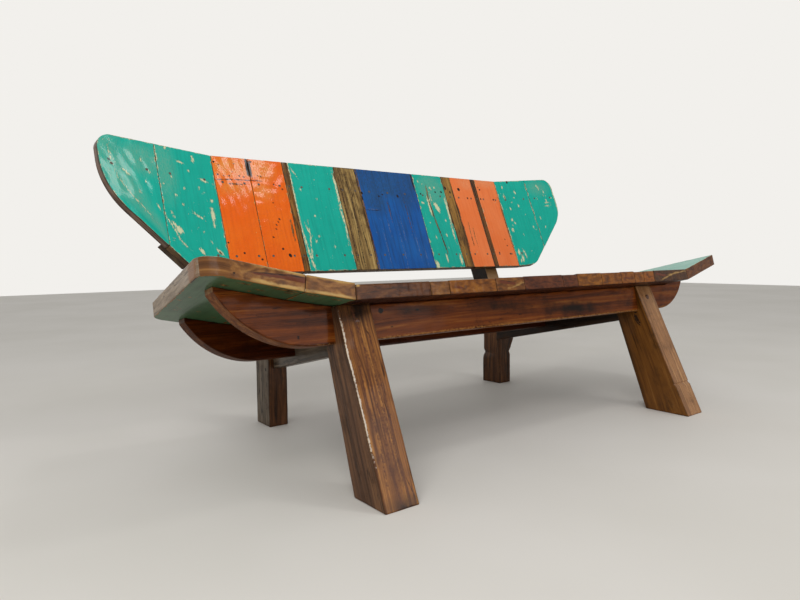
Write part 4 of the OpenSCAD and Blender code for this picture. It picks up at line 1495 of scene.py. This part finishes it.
        # a knot with a dark crescent round it
        scar_and_shade = [*line(BLACK, 5, (42, 320), (55, 316), (63, 301), (60, 287), (52, 279)),
                Mark(BLACK, 47, 286, 7, 7, 0, 2.5), Mark(BROWN, 53, 300, 26, 14),
                # painted shade at the top of the leg, under the beam
                Mark(FADED, 60, 380, 50, 60, 0, 12)]
        nail = [Mark(BLACK, 20, 172, 11, 11)]
        # painted shade on the right post's inner side and painted light on its front, where it stands between
        # the seat and the back
        shade = [Mark(FADED, 44, 480, 200, 130, 0, 12, FACE), Mark(PALE, 30, 480, 170, 100, 0, 12, LEFT)]
        notch_lines = (80, 83, *range(86, 99), 100)
        for side, name in ((-1, "left"), (1, "right")):
            left = side < 0
            broad, narrow = (LEG_SIDE, LEG) if left else (LEG_RIGHT, LEG_FACE)
            block = Block((self.block, self.foot(side), self.front_w), (4.0, 3.6, 3.6), 3.5, notch_lines)
            Piece("front_leg_" + name, block, self.front_bend(side),
                  {FACE: broad, REAR: broad, LEFT: narrow, RIGHT: LEG if left else LEG_RIGHT,
                   START: ENDS, FINISH: ENDS}, "leg_wood", 501 + side,
                  marks=streaks if left else scar_and_shade, marked=LEFT if left else FACE).make()
        for side, name in ((-1, "left"), (1, "right")):
            left = side < 0
            block = Block((self.knee_h + self.post, self.rear_d, self.rear_w), (5.0, 6.0, 6.0), 2.5,
                          (self.knee_h - 3, self.knee_h, self.knee_h + 3))
            Piece("rear_leg_" + name, block, self.rear_bend(side),
                  {FACE: POST, START: ENDS, FINISH: ENDS, REAR: RAIL if left else POST},
                  "rear_leg_wood", 521 + side, marks=nail if left else shade, marked=REAR).make()
        for side, name in ((-1, "left"), (1, "right")):
            Piece("side_rail_" + name, Block((self.block, self.rail_h, self.rail_t), (7.0, 7.0, 7.0), 2.5),
                  self.rail_bend(side), {FACE: RAIL if side < 0 else SHADED_RAIL, START: ENDS, FINISH: ENDS},
                  "rail_wood", 541 + side).make()


@dataclass
class Beams:
    """The two long beams under the seat, whose ends sweep up."""

    seat: Seat
    legs: Legs
    front: BeamEnds = BeamEnds(-875, 839, 238, 200)
    rear: BeamEnds = BeamEnds(-819, 819, 212, 212)
    tip_h: float = 10

    def foot(self, x: Array, ends: BeamEnds) -> Array:
        """Gives a beam's lower outline.

        Args:
            x: places along the beam.
            ends: its ends.

        Returns:
            The height at each place.
        """
        base = self.seat.beam_w
        low = np.full(len(x), base)
        for side, end, r in ((-1, ends.left, ends.left_r), (1, ends.right, ends.right_r)):
            rise = float(self.seat.under(np.array([end]))[0]) - base - self.tip_h
            start = end - side * r * math.sin(math.acos(max(0.0, (r - rise) / r)))
            past = np.maximum(0, side * (x - start))
            low = np.maximum(low, base + r - np.sqrt(np.maximum(0, r * r - past ** 2)))
        return low

    def bend(self, v0: float, ends: BeamEnds) -> Bend:
        """Gives the bending of a beam's block: along, up and rearward.

        Args:
            v0: the beam's place, back along the seat.
            ends: its ends.

        Returns:
            A function that takes the block's points to their place.
        """
        length, height = ends.right - ends.left, self.seat.beam_h

        def shape(points: Array) -> Array:
            """Bends the block's points.

            Args:
                points: the block's points, one row each.

            Returns:
                The points in their place.
            """
            s = points[:, 0] / length
            # the lines crowd towards the ends, where the curves turn up
            x = ends.left + length * (0.5 * s + 0.25 * (1 - np.cos(math.pi * s)))
            low, high = self.foot(x, ends), self.seat.under(x)
            wave = ripple(int(v0), 150, points[:, 0], points[:, 1]) * 0.7
            return FRAMES.seat(x, v0 + points[:, 2] + wave, low + points[:, 1] / height * (high - low))
        return shape

    def build(self) -> None:
        """Builds and dresses both beams."""
        marks = [Mark(BLACK, 64, 469, 13, 13, 0, 2.5), Mark(FADED, 60, 562, 90, 14, 0, 7),
                 Mark(BLACK, 59, 562, 9, 7, 0, 2.5), Mark(FADED, 50, 800, 130, 22, -4, 8),
                 Mark(FADED, 28, 1040, 190, 26, -4, 8), Mark(BLACK, 20, 1052, 7, 7, 0, 2.5),
                 Mark(BLACK, 15, 248, 7, 7, 0, 2.5), Mark(BLACK, 26, 492, 6, 6, 0, 2.5),
                 *line(PALE, 3, (2, 420), (3, 700), (2, 1100), (3, 1500))]
        for name, v0, ends, tint, own in (("front_beam", self.legs.beam_v, self.front, "#FFFFFF", marks),
                                          ("rear_beam", self.seat.rear_v, self.rear, "#B4A492", [])):
            block = Block((ends.right - ends.left, self.seat.beam_h, self.seat.beam_t), (5.0, 4.0, 6.0), 2.5)
            Piece(name, block, self.bend(v0, ends), {FACE: BEAM, START: ENDS, FINISH: ENDS, LEFT: BEAM_EDGE},
                  "beam_wood", 71 + int(v0), tint, own, sawn=True).make()


@dataclass
class Battens:
    """The two battens behind the back, bent with its wings."""

    back: Back
    thick: float = 20
    height: float = 62
    stations: tuple[float, float] = (-88, -330)
    stop: float = 20
    turn_over: float = 12

    def bend(self, a: float, reach: tuple[float, ...]) -> Bend:
        """Gives the bending of a batten's block: along, down and rearward.

        Args:
            a: the batten's middle, up from the back's top edge.
            reach: how far it runs along each wing.

        Returns:
            A function that takes the block's points to their place.
        """
        back, half = self.back, self.back.mid / 2

        def shape(points: Array) -> Array:
            """Bends the block's points.

            Args:
                points: the block's points, one row each.

            Returns:
                The points in their place.
            """
            height = a + self.height / 2 - points[:, 1]
            left, right = (np.minimum(reach[side], back.reach(side, height)) for side in (0, 1))
            s = points[:, 0] / (back.mid + sum(reach))
            along = -half - left + s * (back.mid + left + right)
            past = np.maximum(0, np.abs(along) - half)
            side = np.sign(along)
            c, sin = cos_sin(back.wing_bend)
            depth = back.thick + CLEAR + points[:, 2]
            # the batten turns with the wing over a short way
            lean = np.clip(past / self.turn_over, 0, 1) * math.radians(back.wing_bend)
            x = side * (np.minimum(np.abs(along), half) + past * c) + side * depth * np.sin(lean)
            return FRAMES.back(x, depth * np.cos(lean) - past * sin, height)
        return shape

    def build(self) -> None:
        """Builds and dresses both battens."""
        short = tuple(w - self.stop for w in self.back.wing)
        for name, a, reach in (("upper_batten", self.stations[0], short),
                               ("lower_batten", self.stations[1], self.back.wing)):
            block = Block((self.back.mid + sum(reach), self.height, self.thick), (9.0, 8.0, 7.0), 2.0)
            Piece(name, block, self.bend(a, reach), {FACE: BATTEN, START: DARK_ENDS, FINISH: DARK_ENDS},
                  "batten_wood", 91 + int(-a)).make()


@dataclass(frozen=True)
class Pin:
    """The sizes of a screw, bolt or plug, which are the inputs of the tree that sets it."""

    head_radius: float
    head_height: float
    foot_radius: float
    shank_radius: float
    shank_length: float
    crown: float
    washer_radius: float
    washer_height: float
    sides: int

    def inputs(self) -> dict[str, float]:
        """Gives the sizes by the tree's input names, lengths in metres."""
        return {item.name.replace("_", " ").capitalize():
                getattr(self, item.name) * (1 if item.name == "sides" else MM) for item in fields(self)}


@dataclass
class Fixings:
    """Screws, bolts and plugs, set by one tree of geometry nodes at their stations."""

    back: Back
    seat: Seat
    legs: Legs
    screw_rows: tuple[float, float] = (-88.0, -330.0)
    bolt_rows: tuple[float, float] = (-76.0, -340.0)
    washer_out: float = 8
    screw_out: tuple[float, float] = (0.2, 0.4)
    plug_sunk: float = 0.4
    bolt_sunk: float = 7.5

    def tree(self, name: str, finish: Finish, inputs: dict[str, float]) -> bpy.types.GeometryNodeTree:
        """Builds the tree that sets a headed pin at each point.

        Args:
            name: the tree's name.
            finish: the pins' finish.
            inputs: the sizes, by the names that the tree's inputs take.

        Returns:
            A tree with inputs for the stations, the head, the shank and the washer.
        """
        tree = bpy.data.node_groups.new(name, "GeometryNodeTree")
        add = partial(add_node, tree)
        tree.interface.new_socket("Stations", in_out="INPUT", socket_type="NodeSocketGeometry")
        for label in inputs:
            kind = "NodeSocketInt" if label == "Sides" else "NodeSocketFloat"
            tree.interface.new_socket(label, in_out="INPUT", socket_type=kind)
        tree.interface.new_socket("Fixings", in_out="OUTPUT", socket_type="NodeSocketGeometry")
        given = add("NodeGroupInput").outputs

        def solid(kind: str, drop: Any, sizes: dict[str, Any]) -> Any:
            """Makes one closed solid of the pin at a height.

            Args:
                kind: Cone or Cylinder.
                drop: its height.
                sizes: its own inputs.

            Returns:
                The solid's node.
            """
            cut = {"Vertices": given["Sides"], "Side Segments": 1, "Fill Segments": 1, **sizes}
            made = add("GeometryNodeMesh" + kind, cut, fill_type="NGON")
            at = add("ShaderNodeCombineXYZ", {"Z": drop})
            return add("GeometryNodeTransform", {"Geometry": made, "Translation": at})

        # the pin stands on the third axis: its head's top at 0, its shank below
        radius, height, length = given["Head radius"], given["Head height"], given["Shank length"]
        sunk = add("ShaderNodeMath", {0: height, 1: -1.0}, operation="MULTIPLY")
        half = add("ShaderNodeMath", {0: length, 1: -0.5}, operation="MULTIPLY")
        lower = add("ShaderNodeMath", {0: half, 1: sunk}, operation="ADD")
        flat = add("ShaderNodeMath", {0: radius, 1: 0.7}, operation="MULTIPLY")
        parts = (
            solid("Cylinder", sunk, {"Radius": given["Washer radius"], "Depth": given["Washer height"]}),
            solid("Cylinder", lower, {"Radius": given["Shank radius"], "Depth": length}),
            solid("Cone", 0.0, {"Radius Top": flat, "Radius Bottom": radius, "Depth": given["Crown"]}),
            solid("Cone", sunk, {"Radius Top": radius, "Radius Bottom": given["Foot radius"],
                                 "Depth": height}))
        pin = add("GeometryNodeJoinGeometry")
        for part in parts:
            tree.links.new(part.outputs[0], pin.inputs[0])
        way = add("GeometryNodeInputNamedAttribute", {"Name": "way"}, data_type="FLOAT_VECTOR")
        turn = add("FunctionNodeAlignRotationToVector", {"Vector": way}, axis="Z")
        spin = add("FunctionNodeRandomValue", {"Min": 0.0, "Max": FULL_TURN, "Seed": 5}, data_type="FLOAT")
        about = add("ShaderNodeCombineXYZ", {"Z": spin})
        spun = add("FunctionNodeRotateRotation", {"Rotation": turn, "Rotate By": about},
                   rotation_space="LOCAL")
        spread = add("GeometryNodeInstanceOnPoints", {
            "Points": given["Stations"], "Instance": pin, "Rotation": spun})
        real = add("GeometryNodeRealizeInstances", {"Geometry": spread})
        dressed = add("GeometryNodeSetMaterial", {"Geometry": real, "Material": finish.material()})
        add("NodeGroupOutput", {"Fixings": dressed})
        return tree

    def set_pins(self, name: str, finish: Finish, stations: list[Station], pin: Pin) -> None:
        """Sets one kind of pin and registers it for its CAD node.

        Args:
            name: the CAD node's name.
            finish: the pins' finish.
            stations: place and outward direction of each pin, in metres.
            pin: its sizes.
        """
        cloud = bpy.data.meshes.new(name + "_stations")
        cloud.from_pydata([tuple(at) for at, _ in stations], [], [])
        write_field(cloud, "way", "FLOAT_VECTOR", np.array([way for _, way in stations]))
        base = stand(name + "_stations", cloud)
        inputs = pin.inputs()
        nodes = base.modifiers.new("fixings", "NODES")
        nodes.node_group = self.tree(name + "_tree", finish, inputs)
        for item in nodes.node_group.interface.items_tree:
            if item.in_out == "INPUT" and item.name in inputs:
                nodes[item.identifier] = inputs[item.name]
        bpy.context.view_layer.update()
        mesh = bpy.data.meshes.new_from_object(base.evaluated_get(bpy.context.evaluated_depsgraph_get()))
        base.modifiers.remove(nodes)
        bpy.data.objects.remove(base)
        mesh.name = name
        register(stand("dressed_" + name, mesh), name)
        LOG.info("%s: %d pins", name, len(stations))

    @staticmethod
    def station(ends: Array, out: float = 0.0) -> Station:
        """Gives the station at the first of two points, moved towards the second.

        Args:
            ends: the two points, in millimetres.
            out: how far the pin stands out.

        Returns:
            Its place in metres and its outward direction.
        """
        way = (ends[1] - ends[0]) / np.linalg.norm(ends[1] - ends[0])
        return (ends[0] + way * out) * MM, way

    def back_screws(self) -> list[Station]:
        """Lists the back screws' stations, one row over each batten.

        Returns:
            The place and outward direction of each.
        """
        spots = []
        for i in range(LAST + 1):
            start, end, width = self.back.joint(i), self.back.joint(i + 1), self.back.width(i)
            shares = (0.16, 0.47, 0.78) if width > 200 else (0.2, 0.8) if width > 68 else (0.5,)
            low = {0: (), LAST: (), 1: (0.8,), LAST - 1: (0.2,)}.get(i, shares)
            c, s = cos_sin(self.back.angle(i))
            for a, row in zip(self.screw_rows, (shares, low)):
                for share in row:
                    x, n = start + share * (end - start)
                    ends = FRAMES.back(np.array([x, x + s]), np.array([n, n - c]), np.array([a, a]))
                    spots.append(self.station(ends, self.screw_out[0]))
        return spots

    def seat_screws(self) -> list[Station]:
        """Lists the seat screws' stations, one row over each beam.

        Returns:
            The place and outward direction of each.
        """
        spots = []
        for i in range(LAST + 1):
            low, width = self.seat.x(i), self.seat.x(i + 1) - self.seat.x(i)
            shares = {0: (0.62, 0.85), LAST: (0.12, 0.3)}.get(i, (0.22, 0.78) if width > 68 else (0.5,))
            c, s = cos_sin(self.seat.angle(i))
            for v in (self.legs.beam_v + self.seat.beam_t / 2, self.seat.rear_v + self.seat.beam_t / 2):
                for share in shares:
                    x = low + share * width
                    w = float(self.seat.top(np.array([x]))[0]) - self.seat.worn[i]
                    ends = FRAMES.seat(np.array([x, x - s]), np.array([v, v]), np.array([w, w + c]))
                    spots.append(self.station(ends, self.screw_out[1]))
        return spots

    def leg_points(self, sunk: float) -> list[Station]:
        """Lists the stations of the front legs' plugs or bolts, sunk below the legs' faces.

        Args:
            sunk: how far they are sunk.

        Returns:
            The place and outward direction of each.
        """
        spots = []
        for side in (-1, 1):
            v, w = FRAMES.leg_v(0, self.legs.lean(side), self.legs.bolt_w) + sunk, self.legs.bolt_w
            x = side * self.legs.front_span / 2
            spots.append(self.station(FRAMES.seat(np.array([x, x]), np.array([v, v - 1]), np.array([w, w]))))
        return spots

    def bolt_points(self) -> list[Station]:
        """Lists the stations of the bolts behind the posts.

        Returns:
            The place and outward direction of each.
        """
        n = self.legs.post_n + self.legs.rear_d * cos_sin(FRAMES.back_lean)[0] + self.washer_out
        return [self.station(FRAMES.back(np.array([x, x]), np.array([n, n + 1]), np.array([a, a])))
                for x in (-self.legs.rear_span / 2, self.legs.rear_span / 2) for a in self.bolt_rows]

    def build(self) -> None:
        """Sets every fixing."""
        screw = Pin(4, 3, 2.3, 2.2, 38, 0.35, 2.4, 1, 20)
        plug, bolt = Pin(8, 3, 8, 8, 4, 0.8, 7.9, 1, 28), Pin(8, 6, 8, 5, 43, 0.2, 7.9, 1, 24)
        back_bolt = Pin(8, 6, 8.6, 5, 99, 0.9, 11, 2, 24)
        for name, slot, finish, stations, pin in (
                ("back_screws", "screw_steel", STEEL, self.back_screws(), screw),
                ("seat_screws", "screw_steel", STEEL, self.seat_screws(), replace(screw, shank_length=46)),
                ("leg_plugs", "plug_wood", PLUG, self.leg_points(self.plug_sunk), plug),
                ("leg_bolts", "bolt_steel", ZINC, self.leg_points(self.bolt_sunk), bolt),
                ("back_bolts", "bolt_steel", ZINC, self.bolt_points(), back_bolt)):
            self.set_pins(name, finish, stations, pin)


@dataclass(frozen=True)
class Studio:
    """The plain pale floor, the soft lamps and the camera at the photograph's angle."""

    eye: tuple[float, float, float] = (-1295.4, -1446.6, 504.0)
    yaw: float = 37.326
    pitch: float = -4.050
    roll: float = -0.646
    focal_px: float = 614.9
    width_px: float = 800
    sensor: float = 36.0
    floor_half: float = 9.0
    aim: tuple[float, float, float] = (0, 0, 0.4)

    def camera(self) -> None:
        """Makes the camera and sets it as the scene's."""
        lens = bpy.data.cameras.new("photo_camera")
        lens.sensor_width = self.sensor
        lens.lens = self.focal_px / self.width_px * self.sensor
        lens.clip_start = 0.05
        (cy, sy), (cp, sp), (cr, sr) = cos_sin(self.yaw), cos_sin(self.pitch), cos_sin(self.roll)
        ahead, level = Vector((sy * cp, cy * cp, sp)), Vector((cy, -sy, 0))
        up = level.cross(ahead)
        turn = Matrix((cr * level + sr * up, cr * up - sr * level, -ahead)).transposed().to_4x4()
        made = stand("photo_camera", lens)
        made.matrix_world = Matrix.Translation(Vector(self.eye) * MM) @ turn
        bpy.context.scene.camera = made

    def floor(self) -> None:
        """Lays the pale floor."""
        mesh, h = bpy.data.meshes.new("studio_floor"), self.floor_half
        mesh.from_pydata([(-h, -h, 0), (h, -h, 0), (h, h, 0), (-h, h, 0)], [], [(0, 1, 2, 3)])
        mesh.materials.append(FLOOR.material())
        stand("studio_floor", mesh)

    def lamp(self, name: str, at: tuple[float, float, float], size: float, power: float) -> None:
        """Hangs a soft square lamp that looks at the settle.

        Args:
            name: the lamp's name.
            at: its place in metres.
            size: its side in metres.
            power: its power in watts.
        """
        light = bpy.data.lights.new(name, "AREA")
        light.shape, light.size, light.energy = "SQUARE", size, power
        made = stand(name, light)
        made.location = at
        made.rotation_euler = (Vector(self.aim) - Vector(at)).to_track_quat("-Z", "Y").to_euler()

    def world(self) -> None:
        """Makes the pale world, which lights the settle at half the strength that it shows."""
        made = bpy.data.worlds.new("studio_air")
        bpy.context.scene.world = made
        made.use_nodes = True
        made.node_tree.nodes.clear()
        add = partial(add_node, made.node_tree)
        soft = add("ShaderNodeBackground", {"Color": "#FFFFFF", "Strength": 0.5})
        seen = add("ShaderNodeBackground", {"Color": "#F2F0EC", "Strength": 1.0})
        rays = add("ShaderNodeLightPath").outputs
        every = rays["Is Camera Ray"]
        for more in ("Is Glossy Ray", "Is Transmission Ray"):
            every = add("ShaderNodeMath", {0: every, 1: rays[more]}, operation="MAXIMUM")
        mixed = add("ShaderNodeMixShader", {0: every, 1: soft, 2: seen})
        add("ShaderNodeOutputWorld", {"Surface": mixed})

    def build(self) -> None:
        """Sets up the room."""
        bpy.context.scene.view_settings.view_transform = "Standard"
        self.camera()
        self.floor()
        self.world()
        self.lamp("soft_window", (-2.6, -2.2, 2.6), 2.4, 70)
        self.lamp("soft_fill", (1.4, -3.6, 1.0), 1.8, 26)
        self.lamp("soft_ceiling", (0.60, -1.12, 2.8), 0.32, 5)


def main() -> None:
    """Builds the settle's pieces in order."""
    logging.basicConfig(level=logging.INFO, format="%(name)s %(message)s")
    Studio().build()
    seat, back = Seat(), Back(back_boards())
    legs = Legs(seat)
    for group in (back, seat, Beams(seat, legs), Battens(back), legs, Fixings(back, seat, legs)):
        group.build()


if __name__ == "__main__":
    main()
